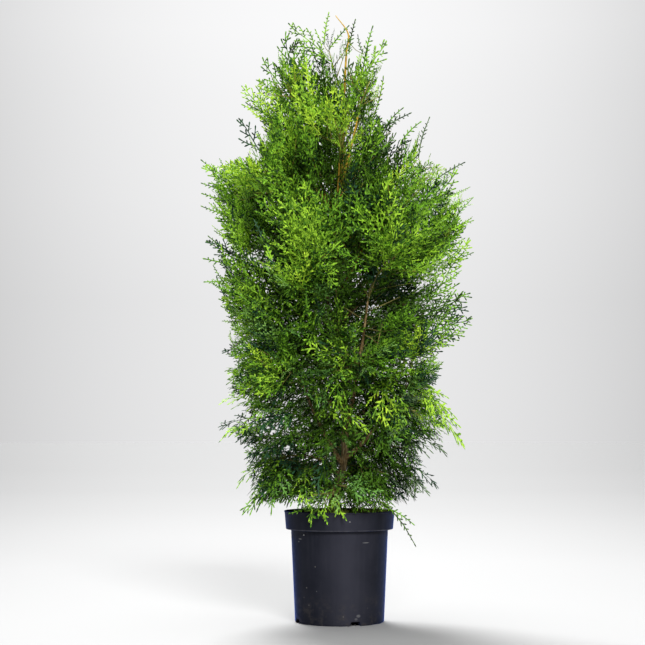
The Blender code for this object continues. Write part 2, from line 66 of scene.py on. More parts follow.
# The pot and its soil, as in the source.
POT_HEIGHT = 0.240
FOOT_RADIUS = 0.0965
BODY_RADIUS = 0.1055
RIM_HEIGHT = 0.040
RIM_LOW_RADIUS = 0.1165
RIM_TOP_RADIUS = 0.1195
LIP_HEIGHT = 0.003
LIP_RADIUS = 0.1206
WALL = 0.0022
DRAIN_COUNT = 4
DRAIN_AZIMUTH = math.radians(290)
DRAIN_WIDTH = 0.024
DRAIN_HEIGHT = 0.0095
DRAIN_INNER = 0.060
DRAIN_SLOT = (0.016, 0.009)
SOIL_EDGE = 0.2325
SOIL_MOUND = 0.2375
MOUND_RADIUS = 0.040

# The trunk's line and radii, as in the source.
TRUNK_HEIGHTS = (0.2378, 0.262, 0.34, 0.42, 0.60, 0.80, 0.91, 1.00, 1.11, 1.25, 1.294, 1.334)
TRUNK_ACROSS = (
    -0.011, -0.011, 0.009, 0.013, 0.004, -0.006, -0.008, 0.005, 0.0095, 0.016, 0.0195, -0.008
)
TRUNK_DEPTH = (0.0, 0.0, 0.0, 0.002, 0.008, 0.004, -0.006, -0.010, -0.008, -0.004, -0.002, 0.0)
TRUNK_RADII = (
    0.0165, 0.0115, 0.0080, 0.0072, 0.0062, 0.0050, 0.0042, 0.0036, 0.0029, 0.0020, 0.0016, 0.0008
)

# The crown's outline and the foliage's rise, as in the source.
CROWN_HEIGHTS = (
    0.19, 0.25, 0.31, 0.38, 0.43, 0.55, 0.68, 0.80, 0.90, 0.99, 1.06, 1.14, 1.20, 1.28, 1.345
)
CROWN_LEFT = (
    0.15, 0.215, 0.215, 0.225, 0.262, 0.262, 0.270, 0.290, 0.312, 0.328, 0.250, 0.220, 0.168,
    0.140, 0.03
)
CROWN_RIGHT = (
    0.14, 0.190, 0.200, 0.230, 0.272, 0.250, 0.285, 0.300, 0.314, 0.275, 0.205, 0.130, 0.105,
    0.100, 0.03
)
HABIT_HEIGHTS = (0.25, 0.42, 0.60, 0.80, 1.00, 1.25)
HABIT_RISE = (-42, -16, 8, 28, 48, 74)

# The boughs, as in the source.
LEADER_SWING = Vector((0.12, 0.12, -0.05))
LEADER_THICKNESS = 1.25
LEADERS = {
    "left_leader": (0.338, (-0.078, -0.080, 0.510)),
    "right_leader": (0.350, (0.090, -0.070, 0.440)),
    "middle_leader": (0.405, (0.060, -0.095, 0.690)),
    "left_shoulder": (0.870, (-0.075, -0.030, 1.085)),
    "right_shoulder": (0.925, (0.040, -0.036, 1.100)),
}
SIDE_BOUGHS = 26
SIDE_FIRST = math.radians(262)
GOLDEN_ANGLE = math.pi * (3 - math.sqrt(5))
SIDE_STATIONS = (0.0, 0.2, 0.5, 0.8, 1.0)
SIDE_STARTS = (0.262, 0.395, 0.600, 0.845, 1.030)
SIDE_TIPS = (0.305, 0.440, 0.690, 0.955, 1.110)
SIDE_BOWS = (0.022, 0.016, -0.004, -0.012, -0.010)
SIDE_SHARE = 0.34
LEADER_ROOM = 0.080
BOUGH_STATIONS = 5
BOUGH_FOOT_SHARE = 0.58
BOUGH_TIP_RADIUS = 0.0016

# The masses' stems, twigs and sprays, as in the source.
STEM_SHARE = 0.60
STEM_POINTS = 3
STEM_RADII = (0.0016, 0.0011)
STEM_SQUARE = 0.003
STEM_BEND = 0.4
STEM_HABIT = 1.6
TOP_MASS_START = 1.150
TOP_MASS_SIDE = Vector((-0.45, -0.9, 0.0))
TOP_MASS_BEND = 0.02
TOP_MASS_SPAN = Vector((-0.032, -0.026, 0.095))
TWIGS = 3
TWIG_TRIES = 9
TWIG_CLEAR_FROM = 0.25
TWIG_PLACES = (0.18, 0.90)
TWIG_LENGTHS = (0.035, 0.075)
TWIG_RADII = (0.0012, 0.0009)
TWIG_SPREAD = (35, 65)
TWIG_TURN_NOISE = 0.4
SPRAYS = 9
SPRAY_TRIES = 110
SPRAY_PLACES = (0.2, 1.0)
SPRAY_LENGTHS = (0.120, 0.190)
SPRAY_SHORTEST = 0.060
SPRAY_SHRINKS = (1.0, 0.8, 0.64)
SPRAY_WIDTH_SHARE = 0.62
SPRAY_SINK = 0.00055
SPRAY_WIDENING = (0.15, 3.2)
SPRAY_NARROWING = (0.06, 1.9)
ROOM_STEP = 0.004
EDGE_SHARE = 0.985
AZIMUTH_NOISE = 0.6
SPRAY_ROLL = 0.5
BROADSIDE_SHARE = 0.5
BROADSIDE_NOISE = (0.9, 0.4)
BROADSIDE_OUT = 0.35
BROADSIDE_ALONG = 0.2
EDGEWISE_NOISE = (0.4, 0.4, 0.6)
EDGEWISE_ALONG = 0.7
SEED = 500
SPRAY_SPREAD = 0.120
SPREAD_BASE = 0.06
SPRAY_GAP = 0.0035
CELL_MARGIN = 0.004
LIMB_MARGIN = 0.0045
POT_MARGIN = 0.008


def azimuth_of(point):
    return math.atan2(point.y, point.x)


def level(azimuth):
    """The level direction at an azimuth."""
    return Vector((math.cos(azimuth), math.sin(azimuth), 0.0))


def shaken(dice, spread):
    """A random vector with the same spread along each axis."""
    return Vector([dice.gauss(0, spread) for _ in range(3)])


def rows_of(points):
    """Points as the rows of an array."""
    return np.array([tuple(point) for point in points])


def swelling(share, foot, tip, power=1.0):
    """A size that grows from the foot to 1 and falls again to the tip, each as a start and a slope."""
    return min(foot[0] + foot[1] * share, 1.0, tip[0] + tip[1] * (1 - share) ** power)


def smooth_value(at, stations, values):
    """A cubic that runs smoothly through values given at rising stations."""
    slopes = np.gradient(np.array(values), np.array(stations))
    i = int(np.clip(np.searchsorted(stations, at) - 1, 0, len(stations) - 2))
    span = stations[i + 1] - stations[i]
    u = min(max((at - stations[i]) / span, 0.0), 1.0)
    ends = (2 * u**3 - 3 * u**2 + 1) * values[i] + (3 * u**2 - 2 * u**3) * values[i + 1]
    bends = (u**3 - 2 * u**2 + u) * slopes[i] + (u**3 - u**2) * slopes[i + 1]
    return float(ends + span * bends)


def trunk_point(height):
    across = smooth_value(height, TRUNK_HEIGHTS, TRUNK_ACROSS)
    depth = smooth_value(height, TRUNK_HEIGHTS, TRUNK_DEPTH)
    return Vector((across, depth, height))


def trunk_radius(height):
    return float(np.interp(height, TRUNK_HEIGHTS, TRUNK_RADII))


def crown_reach(height, azimuth):
    """How far the crown reaches from the pot's axis at a height, in a direction, for one or many."""
    left = np.interp(height, CROWN_HEIGHTS, CROWN_LEFT, left=0.0, right=0.0)
    right = np.interp(height, CROWN_HEIGHTS, CROWN_RIGHT, left=0.0, right=0.0)
    return left + (right - left) * (1 + np.cos(azimuth)) / 2


def habit_direction(height, azimuth):
    """The direction in which the foliage grows at a height and an azimuth."""
    rise = math.radians(float(np.interp(height, HABIT_HEIGHTS, HABIT_RISE)))
    flat = level(azimuth)
    return (flat * math.cos(rise) + UP * math.sin(rise)).normalized()


def bezier(start, middle, end, count):
    """Points along a quadratic curve."""
    shares = [i / (count - 1) for i in range(count)]
    return [start * (1 - u) ** 2 + middle * (2 * u * (1 - u)) + end * u**2 for u in shares]


def bough_plans(stations):
    """Each bough's name, route from the trunk's axis to its tip, and radii."""
    plans = []
    for name, (start, tip) in LEADERS.items():
        foot, end = trunk_point(start), Vector(tip)
        middle = foot.lerp(end, 0.5) + (end - foot) * LEADER_SWING
        plans.append((name, foot, middle, end, LEADER_THICKNESS))
    for i in range(SIDE_BOUGHS):
        share = i / (SIDE_BOUGHS - 1)
        azimuth = SIDE_FIRST + i * GOLDEN_ANGLE
        foot = trunk_point(float(np.interp(share, SIDE_STATIONS, SIDE_STARTS)))
        height = float(np.interp(share, SIDE_STATIONS, SIDE_TIPS))
        reach = SIDE_SHARE * float(crown_reach(height, azimuth))
        end = Vector((math.cos(azimuth) * reach, math.sin(azimuth) * reach, height))
        middle = foot.lerp(end, 0.5) + UP * float(np.interp(share, SIDE_STATIONS, SIDE_BOWS))
        if all((end - Vector(tip)).length > LEADER_ROOM for _, tip in LEADERS.values()):
            plans.append((f"bough_{len(plans) - len(LEADERS) + 1}", foot, middle, end, 1.0))
    return [
        (name, bezier(foot, middle, end, stations), bough_radii(foot.z, thickness, stations))
        for name, foot, middle, end, thickness in plans
    ]


def mass_name(bough):
    """The name of the mass at a bough's tip: bough_3 carries mass_3, and a leader its own mass."""
    return bough.replace("bough", "mass") if "bough" in bough else bough + "_mass"


def bough_radii(height, thickness, stations):
    foot = BOUGH_FOOT_SHARE * trunk_radius(height) * thickness
    tip = BOUGH_TIP_RADIUS * thickness
    return [foot + (tip - foot) * i / (stations - 1) for i in range(stations)]


class Segments:
    """Straight stretches with a radius, for measuring the room round them."""

    def __init__(self, routes):
        starts, ends, radii = [], [], []
        for route, widths in routes:
            starts += route[:-1]
            ends += route[1:]
            radii += [max(pair) for pair in zip(widths[:-1], widths[1:])]
        self.starts = rows_of(starts)
        self.spans = rows_of(ends) - self.starts
        self.radii = np.array(radii)

    def distances(self, points):
        """The distance from each point to the nearest stretch's surface."""
        offsets = points[:, None, :] - self.starts[None]
        along = (offsets * self.spans).sum(2) / (self.spans**2).sum(1)
        nearest = offsets - np.clip(along, 0, 1)[:, :, None] * self.spans[None]
        return (np.linalg.norm(nearest, axis=2) - self.radii).min(axis=1)


def room_ahead(start, direction):
    """How far a line runs from a point before it leaves the crown."""
    travelled = 0.0
    while travelled < CROWN_HEIGHTS[-1]:
        place = start + direction * (travelled + ROOM_STEP)
        if math.hypot(place.x, place.y) > crown_reach(place.z, azimuth_of(place)):
            break
        travelled += ROOM_STEP
    return travelled


def stem_line(start, leaving, bend, end):
    """A stem's route and radii: it leaves squarely, then bends over to its end."""
    square = start + leaving * STEM_SQUARE
    route = [start, *bezier(square, start + leaving * bend, end, STEM_POINTS)]
    thin, count = STEM_RADII[1], len(route) - 1
    return route, [STEM_RADII[0] + (thin - STEM_RADII[0]) * i / count for i in range(count + 1)]


def stem_plan(route):
    """A mass's stem: it goes on from a bough's tip and bends to the foliage's habit."""
    tip = route[-1]
    leaving = (route[-1] - route[-2]).normalized()
    azimuth = azimuth_of(tip)
    habit = (leaving + STEM_HABIT * habit_direction(tip.z, azimuth)).normalized()
    length = STEM_SHARE * room_ahead(tip, habit)
    return stem_line(tip + leaving * CLEARANCE, leaving, length * STEM_BEND, tip + habit * length)


def top_stem_plan():
    """The highest mass's stem starts on the trunk's own surface and rises beside it."""
    out = TOP_MASS_SIDE.normalized()
    start = trunk_point(TOP_MASS_START) + out * (trunk_radius(TOP_MASS_START) + CLEARANCE)
    return stem_line(start, out, TOP_MASS_BEND, start + TOP_MASS_SPAN)


def along(route, share):
    """The point and the direction at a share of a route's length."""
    lengths = [(b - a).length for a, b in zip(route[:-1], route[1:])]
    left = share * sum(lengths)
    for a, b, length in zip(route[:-1], route[1:], lengths):
        if left <= length:
            break
        left -= length
    direction = (b - a).normalized()
    return a + direction * min(left, length), direction


def spray_matrix(root, direction, facing, roll):
    """A spray's axes: X along it, Z out of its face, which is turned to a facing and then rolled."""
    normal = facing - direction * facing.dot(direction)
    normal = Quaternion(direction, roll) @ normal.normalized()
    turn = Matrix((direction, normal.cross(direction), normal)).transposed()
    return Matrix.Translation(root) @ turn.to_4x4()


def spray_heading(direction, root, broadside, dice):
    """Where a spray points and faces: out from the crown on edge, or along its skin, facing out."""
    azimuth = azimuth_of(root) + dice.gauss(0, AZIMUTH_NOISE)
    habit = habit_direction(root.z, azimuth)
    outward = level(azimuth)
    sideways = UP.cross(outward)
    if broadside:
        aside, above = [dice.gauss(0, spread) for spread in BROADSIDE_NOISE]
        lean = aside * sideways + (habit.z + above) * UP + BROADSIDE_OUT * outward
        return (lean + BROADSIDE_ALONG * direction).normalized(), outward
    lean = Vector([dice.gauss(0, spread) for spread in EDGEWISE_NOISE])
    return (EDGEWISE_ALONG * direction + habit + lean).normalized(), sideways


# The places on a spray where its room is measured, those past its root, and the root's share.
SAMPLE_ALONG, SAMPLE_ACROSS = np.meshgrid(np.linspace(0.0, 1.0, 20), np.linspace(-1, 1, 11))
ROOT_SHARE = 0.15
BEYOND_ROOT = (SAMPLE_ALONG > ROOT_SHARE).ravel()


def half_width(share, length):
    """Half of a spray's width at a share of its length: it widens, then narrows to the tip."""
    widening = SPRAY_WIDENING[0] + SPRAY_WIDENING[1] * share
    narrowing = SPRAY_NARROWING[0] + SPRAY_NARROWING[1] * (1 - share)
    return SPRAY_WIDTH_SHARE * length / 2 * np.clip(np.minimum(widening, narrowing), 0, 1)


def spray_samples(matrix, length):
    """Points spread over the area that a spray takes up."""
    across = SAMPLE_ACROSS * half_width(SAMPLE_ALONG, length)
    local = np.stack([SAMPLE_ALONG * length, across, 0 * across], axis=2).reshape(-1, 3)
    turn = np.array(matrix)
    return local @ turn[:3, :3].T + turn[:3, 3]


def crosses(points, matrix, length):
    """True if any of the points beyond a spray's root come near to another spray's face."""
    turn = np.array(matrix.inverted())
    local = points[BEYOND_ROOT] @ turn[:3, :3].T + turn[:3, 3]
    share = local[:, 0] / length
    within = (share > ROOT_SHARE) & (share < 1.0) & (np.abs(local[:, 1]) < half_width(share, length))
    return bool((np.abs(local[within, 2]) < SPRAY_GAP).any())


def off_pot(points):
    radius, height = np.hypot(points[:, 0], points[:, 1]), points[:, 2]
    return not ((height < POT_HEIGHT + POT_MARGIN) & (radius < LIP_RADIUS + POT_MARGIN)).any()


class Space:
    """The space of one mass: nearer to its own stem than to any other, clear of limbs and pot."""

    def __init__(self, own, others, limbs):
        self.own, self.others, self.limbs = own, others, limbs

    def holds(self, points):
        """True if all the points are in the space."""
        radius, height = np.hypot(points[:, 0], points[:, 1]), points[:, 2]
        if not off_pot(points):
            return False
        if self.limbs.distances(points).min() < LIMB_MARGIN:
            return False
        if (self.others.distances(points) - self.own.distances(points)).min() < CELL_MARGIN:
            return False
        return bool((radius < crown_reach(height, np.arctan2(points[:, 1], points[:, 0]))).all())


def grow_twigs(stem, space, dice):
    """The twigs on a stem, each as its foot and its tip."""
    twigs = []
    first, last = TWIG_PLACES
    for i in range(TWIG_TRIES):
        root, direction = along(stem, first + (last - first) * (i % TWIGS + dice.random()) / TWIGS)
        swing = dice.uniform(-TWIG_TURN_NOISE, TWIG_TURN_NOISE)
        turn = Quaternion(direction, i * GOLDEN_ANGLE + swing)
        spread = math.radians(dice.uniform(*TWIG_SPREAD))
        side = turn @ direction.orthogonal().normalized()
        heading = direction * math.cos(spread) + side * math.sin(spread)
        tip = root + heading * dice.uniform(*TWIG_LENGTHS)
        stretch = np.linspace(tuple(root.lerp(tip, TWIG_CLEAR_FROM)), tuple(tip), 12)
        if len(twigs) < TWIGS and space.holds(stretch):
            twigs.append([root, tip])
    return twigs


def find_sprays(carriers, space, dice):
    """Sprays that fit: axes, length, centre, sampled points and whether each lies broadside."""
    wood = Segments([(carrier, [TWIG_RADII[0]] * len(carrier)) for carrier in carriers])
    found = []
    for i in range(SPRAY_TRIES):
        share = 1.0 if i < 2 * len(carriers) else dice.uniform(*SPRAY_PLACES)
        root, direction = along(carriers[i % len(carriers)], share)
        broadside = dice.random() < BROADSIDE_SHARE
        heading, facing = spray_heading(direction, root, broadside, dice)
        longest = min(room_ahead(root, heading) * EDGE_SHARE, dice.uniform(*SPRAY_LENGTHS))
        roll = dice.gauss(0, SPRAY_ROLL)
        matrix = spray_matrix(root - heading * SPRAY_SINK, heading, facing, roll)
        for length in [longest * shrink for shrink in SPRAY_SHRINKS]:
            points = spray_samples(matrix, length)
            clear = length >= SPRAY_SHORTEST
            if clear and wood.distances(points[BEYOND_ROOT]).min() >= SPRAY_GAP:
                if space.holds(points):
                    found.append((matrix, length, root + heading * length / 2, points, broadside))
                    break
    return found


def choose_sprays(found):
    """The sprays of a mass: long, far apart, not crossing, edgewise and broadside by turns."""
    chosen = []

    def worth(spray):
        apart = min([(spray[2] - other[2]).length for other in chosen] + [SPRAY_SPREAD])
        return (SPREAD_BASE + apart) * spray[1]

    while found and len(chosen) < SPRAYS:
        wanted = [spray for spray in found if spray[4] == bool(len(chosen) % 2)] or found
        best = max(wanted, key=worth)
        chosen.append(best)
        found = [spray for spray in found if spray is not best and not crosses(spray[3], *best[:2])]
    return [(matrix, length) for matrix, length, *_ in chosen]


# Mesh making.


def add_object(name, mesh, material):
    made = bpy.data.objects.new(name, mesh)
    SCENE.objects.link(made)
    mesh.materials.clear()
    mesh.materials.append(material)
    return made


def mesh_of(name, points, faces):
    """A mesh from arrays of points and of triangles."""
    mesh = bpy.data.meshes.new(name)
    mesh.vertices.add(len(points))
    mesh.vertices.foreach_set("co", np.asarray(points, dtype=np.float32).ravel())
    mesh.loops.add(faces.size)
    mesh.loops.foreach_set("vertex_index", np.asarray(faces, dtype=np.int32).ravel())
    mesh.polygons.add(len(faces))
    mesh.polygons.foreach_set("loop_start", np.arange(0, faces.size, 3, dtype=np.int32))
    mesh.update(calc_edges=True)
    return mesh


def drawn(shape, name):
    """A mesh from a bmesh, which is then freed."""
    mesh = bpy.data.meshes.new(name)
    shape.to_mesh(mesh)
    shape.free()
    return mesh


def ring_faces(rings, spokes):
    """The triangles between rings of points that follow one another, facing out."""
    ring, spoke = np.meshgrid(np.arange(rings - 1), np.arange(spokes), indexing="ij")
    a = (ring * spokes + spoke).ravel()
    b = (ring * spokes + (spoke + 1) % spokes).ravel()
    return np.concatenate([np.stack([a, b, b + spokes], 1), np.stack([a, b + spokes, a + spokes], 1)])


class Heap:
    """Points and triangles gathered into one mesh."""

    def __init__(self):
        self.points, self.faces, self.count = [], [], 0

    def add(self, points, faces):
        self.points.append(points)
        self.faces.append(faces + self.count)
        self.count += len(points)

    def mesh(self, name):
        return mesh_of(name, np.concatenate(self.points), np.concatenate(self.faces))


def tube(route, radii, sides, relief=None):
    """A closed tube along a route, with its surface raised by a relief of each place on it."""
    route = rows_of(route)
    steps = np.gradient(route, axis=0)
    steps /= np.linalg.norm(steps, axis=1)[:, None]
    first = np.cross(steps[0], (0.0, 1.0, 0.0) if abs(steps[0][1]) < 0.9 else (1.0, 0.0, 0.0))
    angles = np.linspace(0, 2 * math.pi, sides, endpoint=False)
    rings = []
    for place, step, radius in zip(route, steps, radii):
        first = first - step * np.dot(first, step)
        first /= np.linalg.norm(first)
        second = np.cross(step, first)
        out = np.cos(angles)[:, None] * first + np.sin(angles)[:, None] * second
        reach = np.full(sides, float(radius))
        if relief is not None:
            reach *= np.array([relief(angle, place) for angle in angles])
        rings.append(place + out * reach[:, None])
    points = np.concatenate([*rings, route[:1], route[-1:]])
    count = len(route)
    faces = [ring_faces(count, sides)]
    around = np.arange(sides)
    after = (around + 1) % sides
    foot, tip = np.full(sides, count * sides), np.full(sides, count * sides + 1)
    last = (count - 1) * sides
    faces += [np.stack([foot, after, around], 1), np.stack([tip, around + last, after + last], 1)]
    return points, np.concatenate(faces)


# Materials.


class Nodes:
    """A short way to lay out a node-based material on one Principled shader."""

    def __init__(self, name):
        self.material = bpy.data.materials.new(name)
        self.material.use_nodes = True
        self.tree = self.material.node_tree
        self.shader = self.tree.nodes["Principled BSDF"]
        self.place = self.tree.nodes.new("ShaderNodeTexCoord").outputs["Object"]

    def link(self, source, target):
        self.tree.links.new(source, target)

    def node(self, kind, inputs=(), **settings):
        made = self.tree.nodes.new(kind)
        for key, value in settings.items():
            setattr(made, key, value)
        for key, value in dict(inputs).items():
            if isinstance(value, bpy.types.NodeSocket):
                self.link(value, made.inputs[key])
            else:
                made.inputs[key].default_value = value
        return made

    def stretched(self, scale):
        return self.node("ShaderNodeMapping", {"Vector": self.place, "Scale": scale}).outputs[0]

    def noise(self, scale, detail=3.0, roughness=0.55, vector=None):
        inputs = {"Scale": scale, "Detail": detail, "Roughness": roughness}
        inputs["Vector"] = vector or self.place
        return self.node("ShaderNodeTexNoise", inputs).outputs["Fac"]

    def voronoi(self, scale):
        return self.node("ShaderNodeTexVoronoi", {"Vector": self.place, "Scale": scale}).outputs

    def cells(self, scale):
        """A value that is dealt out evenly from 0 to 1 to cells of a size."""
        colour = self.voronoi(scale)["Color"]
        return self.node("ShaderNodeSeparateColor", {"Color": colour}).outputs[0]

    def ramp(self, factor, stops):
        made = self.node("ShaderNodeValToRGB", {"Fac": factor})
        while len(made.color_ramp.elements) < len(stops):
            made.color_ramp.elements.new(0.5)
        for element, (at, colour) in zip(made.color_ramp.elements, stops):
            element.position = at
            element.color = (*colour, 1.0)
        return made.outputs["Color"]

    def mix(self, factor, first, second):
        made = self.node("ShaderNodeMix", data_type="RGBA")
        for slot, value in ((0, factor), (6, first), (7, second)):
            if isinstance(value, bpy.types.NodeSocket):
                self.link(value, made.inputs[slot])
            else:
                made.inputs[slot].default_value = (*value, 1.0) if slot else value
        return made.outputs[2]

    def vector_math(self, operation, first, second=(0.0, 0.0, 0.0)):
        made = self.node("ShaderNodeVectorMath", {0: first, 1: second}, operation=operation)
        return made.outputs["Value" if operation == "LENGTH" else "Vector"]

    def dimmed(self, colour, share):
        made = self.node("ShaderNodeVectorMath", {0: colour, "Scale": share}, operation="SCALE")
        return made.outputs["Vector"]

    def math(self, operation, first, second):
        return self.node("ShaderNodeMath", {0: first, 1: second}, operation=operation).outputs[0]

    def between(self, value, low, high, to_low=0.0, to_high=1.0):
        inputs = {"Value": value, "From Min": low, "From Max": high, "To Min": to_low, "To Max": to_high}
        return self.node("ShaderNodeMapRange", inputs, clamp=True).outputs[0]

    def parts(self):
        """The place's X, Y and Z."""
        return self.node("ShaderNodeSeparateXYZ", {"Vector": self.place}).outputs

    def height(self):
        return self.parts()["Z"]

    def from_axis(self):
        """How far a place is from the object's upright axis."""
        return self.vector_math("LENGTH", self.stretched((1.0, 1.0, 0.0)))

    def bump(self, height, distance, strength=1.0, normal=None):
        inputs = {"Height": height, "Distance": distance, "Strength": strength}
        if normal is not None:
            inputs["Normal"] = normal
        return self.node("ShaderNodeBump", inputs).outputs["Normal"]

    def set(self, **values):
        """Sets or links the shader's sockets, named with _ for a space."""
        for key, value in values.items():
            socket = self.shader.inputs[key.replace("_", " ")]
            if isinstance(value, bpy.types.NodeSocket):
                self.link(value, socket)
            elif isinstance(value, tuple) and len(value) == 3 and socket.type == "RGBA":
                socket.default_value = (*value, 1.0)
            else:
                socket.default_value = value
        return self.material


# What tells tufts, fingers and scales apart: how fine each pattern is, and its weight in the tone.
TUFTS = (42.0, 0.28)
FINGERS = (230.0, 0.56)
FINEST = (420.0, 0.20)
LEAF_TONES = (0.33, 0.66)
LEAF_GLOSS = (0.85, 1.0, 0.60)
LEAF_WAX = 300.0
LEAF_ROUGHNESS = (0.3, 0.7, 0.46, 0.66)
LEAF_SCALES = 640.0
LEAF_RELIEF = 0.0004


def leaf_material(name, dark, light):
    """Scale leaves: a green that varies from finger to finger, with a waxy gloss and fine scales."""
    n = Nodes(name)
    tone = n.math("MULTIPLY", n.cells(TUFTS[0]), TUFTS[1])
    tone = n.math("ADD", tone, n.math("MULTIPLY", n.cells(FINGERS[0]), FINGERS[1]))
    tone = n.math("ADD", tone, n.math("MULTIPLY", n.noise(FINEST[0], 2.0), FINEST[1]))
    return n.set(
        Base_Color=n.ramp(tone, list(zip(LEAF_TONES, (dark, light)))),
        Roughness=n.between(n.noise(LEAF_WAX), *LEAF_ROUGHNESS),
        Specular_IOR_Level=0.26,
        Specular_Tint=LEAF_GLOSS,
        Normal=n.bump(n.voronoi(LEAF_SCALES)["Distance"], LEAF_RELIEF, 0.5),
    )


GOLDEN = ((0.42, 0.20, 0.02), (0.72, 0.43, 0.04), (0.85, 0.62, 0.09))
GOLDEN_HEIGHTS = (0.70, 1.05)
BARK_TONES = (0.32, 0.50, 0.70)
BARK_ROUGHNESS = (0.3, 0.7, 0.92, 0.66)
BARK_RELIEF = 0.0012
BARK_STRETCH = (1.0, 1.0, 0.18)
BARK_STRANDS = 420.0
BARK_PATCHES = 38.0
PATCHINESS = (0.35, 0.65, 0.0, 0.5)


def bark_material(name, dark, middle, light, turns_golden):
    """Stringy bark: long fibres, darker in the furrows, with pale flakes, and golden high up."""
    n = Nodes(name)
    strands = n.noise(BARK_STRANDS, 4.0, 0.6, n.stretched(BARK_STRETCH))
    patches = n.noise(BARK_PATCHES, 3.0, 0.5)
    colour = n.ramp(strands, list(zip(BARK_TONES, (dark, middle, light))))
    colour = n.mix(n.between(patches, *PATCHINESS), colour, dark)
    if turns_golden:
        golden = n.ramp(strands, list(zip(BARK_TONES, GOLDEN)))
        colour = n.mix(n.between(n.height(), *GOLDEN_HEIGHTS), colour, golden)
    return n.set(
        Base_Color=colour,
        Roughness=n.between(strands, *BARK_ROUGHNESS),
        Specular_IOR_Level=0.25,
        Normal=n.bump(strands, BARK_RELIEF, 0.8),
    )


# Marks on the pot's front: across and up, half their width and height, and how pale each is.
POT_MARKS = (
    (-0.0768, 0.1910, 0.0017, 0.0017, 0.90),
    (0.0207, 0.2210, 0.0014, 0.0014, 0.60),
    (-0.0850, 0.1820, 0.0070, 0.0011, 0.28),
    (-0.0880, 0.1760, 0.0040, 0.0014, 0.18),
    (0.0550, 0.1755, 0.0100, 0.0009, 0.30),
    (0.0390, 0.0215, 0.0055, 0.0040, 0.16),
    (0.0340, 0.0150, 0.0040, 0.0030, 0.12),
    (-0.0495, 0.0730, 0.0013, 0.0013, 0.16),
)
MARK_COLOUR = (0.62, 0.62, 0.60)
MARK_EDGE = 520.0
MARK_RAGGED = (0.35, 0.55, 0.4, 1.0)

# The plastic in its two shades, and what lies on it: dust in streaks, dirt low down and specks.
# A pattern's scale is per metre. Its span gives the values between which it takes effect, and how
# much effect it has at either end.
PLASTIC = ((0.0095, 0.0108, 0.0170), (0.0150, 0.0162, 0.0245))
CLOUDS = 14.0
CLOUD_TONES = (0.35, 0.70)
STREAKS = 60.0
STREAK_STRETCH = (1.0, 1.0, 0.06)
DUST_COLOUR = (0.050, 0.050, 0.062)
DUST_SPAN = (0.50, 0.85, 0.0, 0.25)
DIRT_COLOUR = (0.075, 0.066, 0.056)
DIRT_HEIGHT = 0.075
DIRT_SCALE = 48.0
DIRT_SPAN = (0.50, 0.72, 0.0, 0.55)
SPECK_COLOUR = (0.11, 0.105, 0.10)
SPECK_SCALE = 46.0
SPECK_SIZES = (0.085, 0.045)
SPECK_GROUPS = 20.0
SPECK_RARENESS = (0.58, 0.62)
SCUFFS = 120.0
SCUFF_ROUGHNESS = (0.3, 0.7, 0.50, 0.62)
GRAIN = 900.0
GRAIN_RELIEF = (0.0002, 0.35)
STREAK_RELIEF = (0.0006, 0.25)

# A painted highlight along the rim's lower edge, broken up by the streaks: how far it reaches.
EDGE_HIGHLIGHT_REACH = 0.0013
EDGE_HIGHLIGHT_COLOUR = (0.110, 0.110, 0.125)
EDGE_HIGHLIGHT_SPAN = (0.35, 0.6, 0.15, 0.75)

# A painted highlight down the pot's front, as a broad paler band: its place across, where it starts and
# is full, its colour.
PAINTED_HIGHLIGHT_PLACE = 0.014
PAINTED_HIGHLIGHT_SPAN = (0.068, 0.006)
PAINTED_HIGHLIGHT_DEPTH = -0.04
PAINTED_HIGHLIGHT_CLOUDS = (0.2, 0.6, 0.7, 1.0)
PAINTED_HIGHLIGHT_COLOUR = (0.0340, 0.0345, 0.0470)

# The pot's left side is darker, a painted shade, and its right side bluer, a painted blue rim light: how
# far aside this starts and is full.
PAINTED_SHADE_SIDE = (-0.78, -0.97)
PAINTED_SHADE_COLOUR = (0.0015, 0.0040, 0.0170)
PAINTED_RIM_LIGHT_SIDE = (0.72, 1.0)
PAINTED_RIM_LIGHT_COLOUR = (0.0080, 0.0170, 0.0560)
BLUE_SHEEN = (0.01, 0.16, 1.0)


def pot_radius(height):
    """The pot's outer radius at a height."""
    shelf = POT_HEIGHT - RIM_HEIGHT
    heights = (0.0, shelf - CLEARANCE, shelf, POT_HEIGHT)
    return float(np.interp(height, heights, (FOOT_RADIUS, BODY_RADIUS, RIM_LOW_RADIUS, RIM_TOP_RADIUS)))


def from_level(n, axis, place):
    """How far a coordinate is from a value, either way."""
    return n.math("ABSOLUTE", n.math("SUBTRACT", n.parts()[axis], place), 0.0)


def plastic_with_painted_light(n):
    """The plastic's colour with painted light: cloudy, with a painted highlight band down the front,
    painted shade on the left and a painted blue rim light on the right.
    """
    cloud = n.noise(CLOUDS, 3.0)
    base = n.ramp(cloud, list(zip(CLOUD_TONES, PLASTIC)))
    parts = n.parts()
    # Painted highlight: a paler band down the pot's front.
    in_front = n.between(parts["Y"], 0.0, PAINTED_HIGHLIGHT_DEPTH)
    highlight_band = n.math("MULTIPLY", n.between(from_level(n, "X", PAINTED_HIGHLIGHT_PLACE), *PAINTED_HIGHLIGHT_SPAN), in_front)
    base = n.mix(n.math("MULTIPLY", highlight_band, n.between(cloud, *PAINTED_HIGHLIGHT_CLOUDS)), base, PAINTED_HIGHLIGHT_COLOUR)
    side = n.math("DIVIDE", parts["X"], n.math("MAXIMUM", n.from_axis(), FOOT_RADIUS))
    # Painted shade on the pot's left side.
    base = n.mix(n.between(side, *PAINTED_SHADE_SIDE), base, PAINTED_SHADE_COLOUR)
    # Painted blue rim light on the pot's right side.
    return n.mix(n.math("POWER", n.between(side, *PAINTED_RIM_LIGHT_SIDE), 2.0), base, PAINTED_RIM_LIGHT_COLOUR)


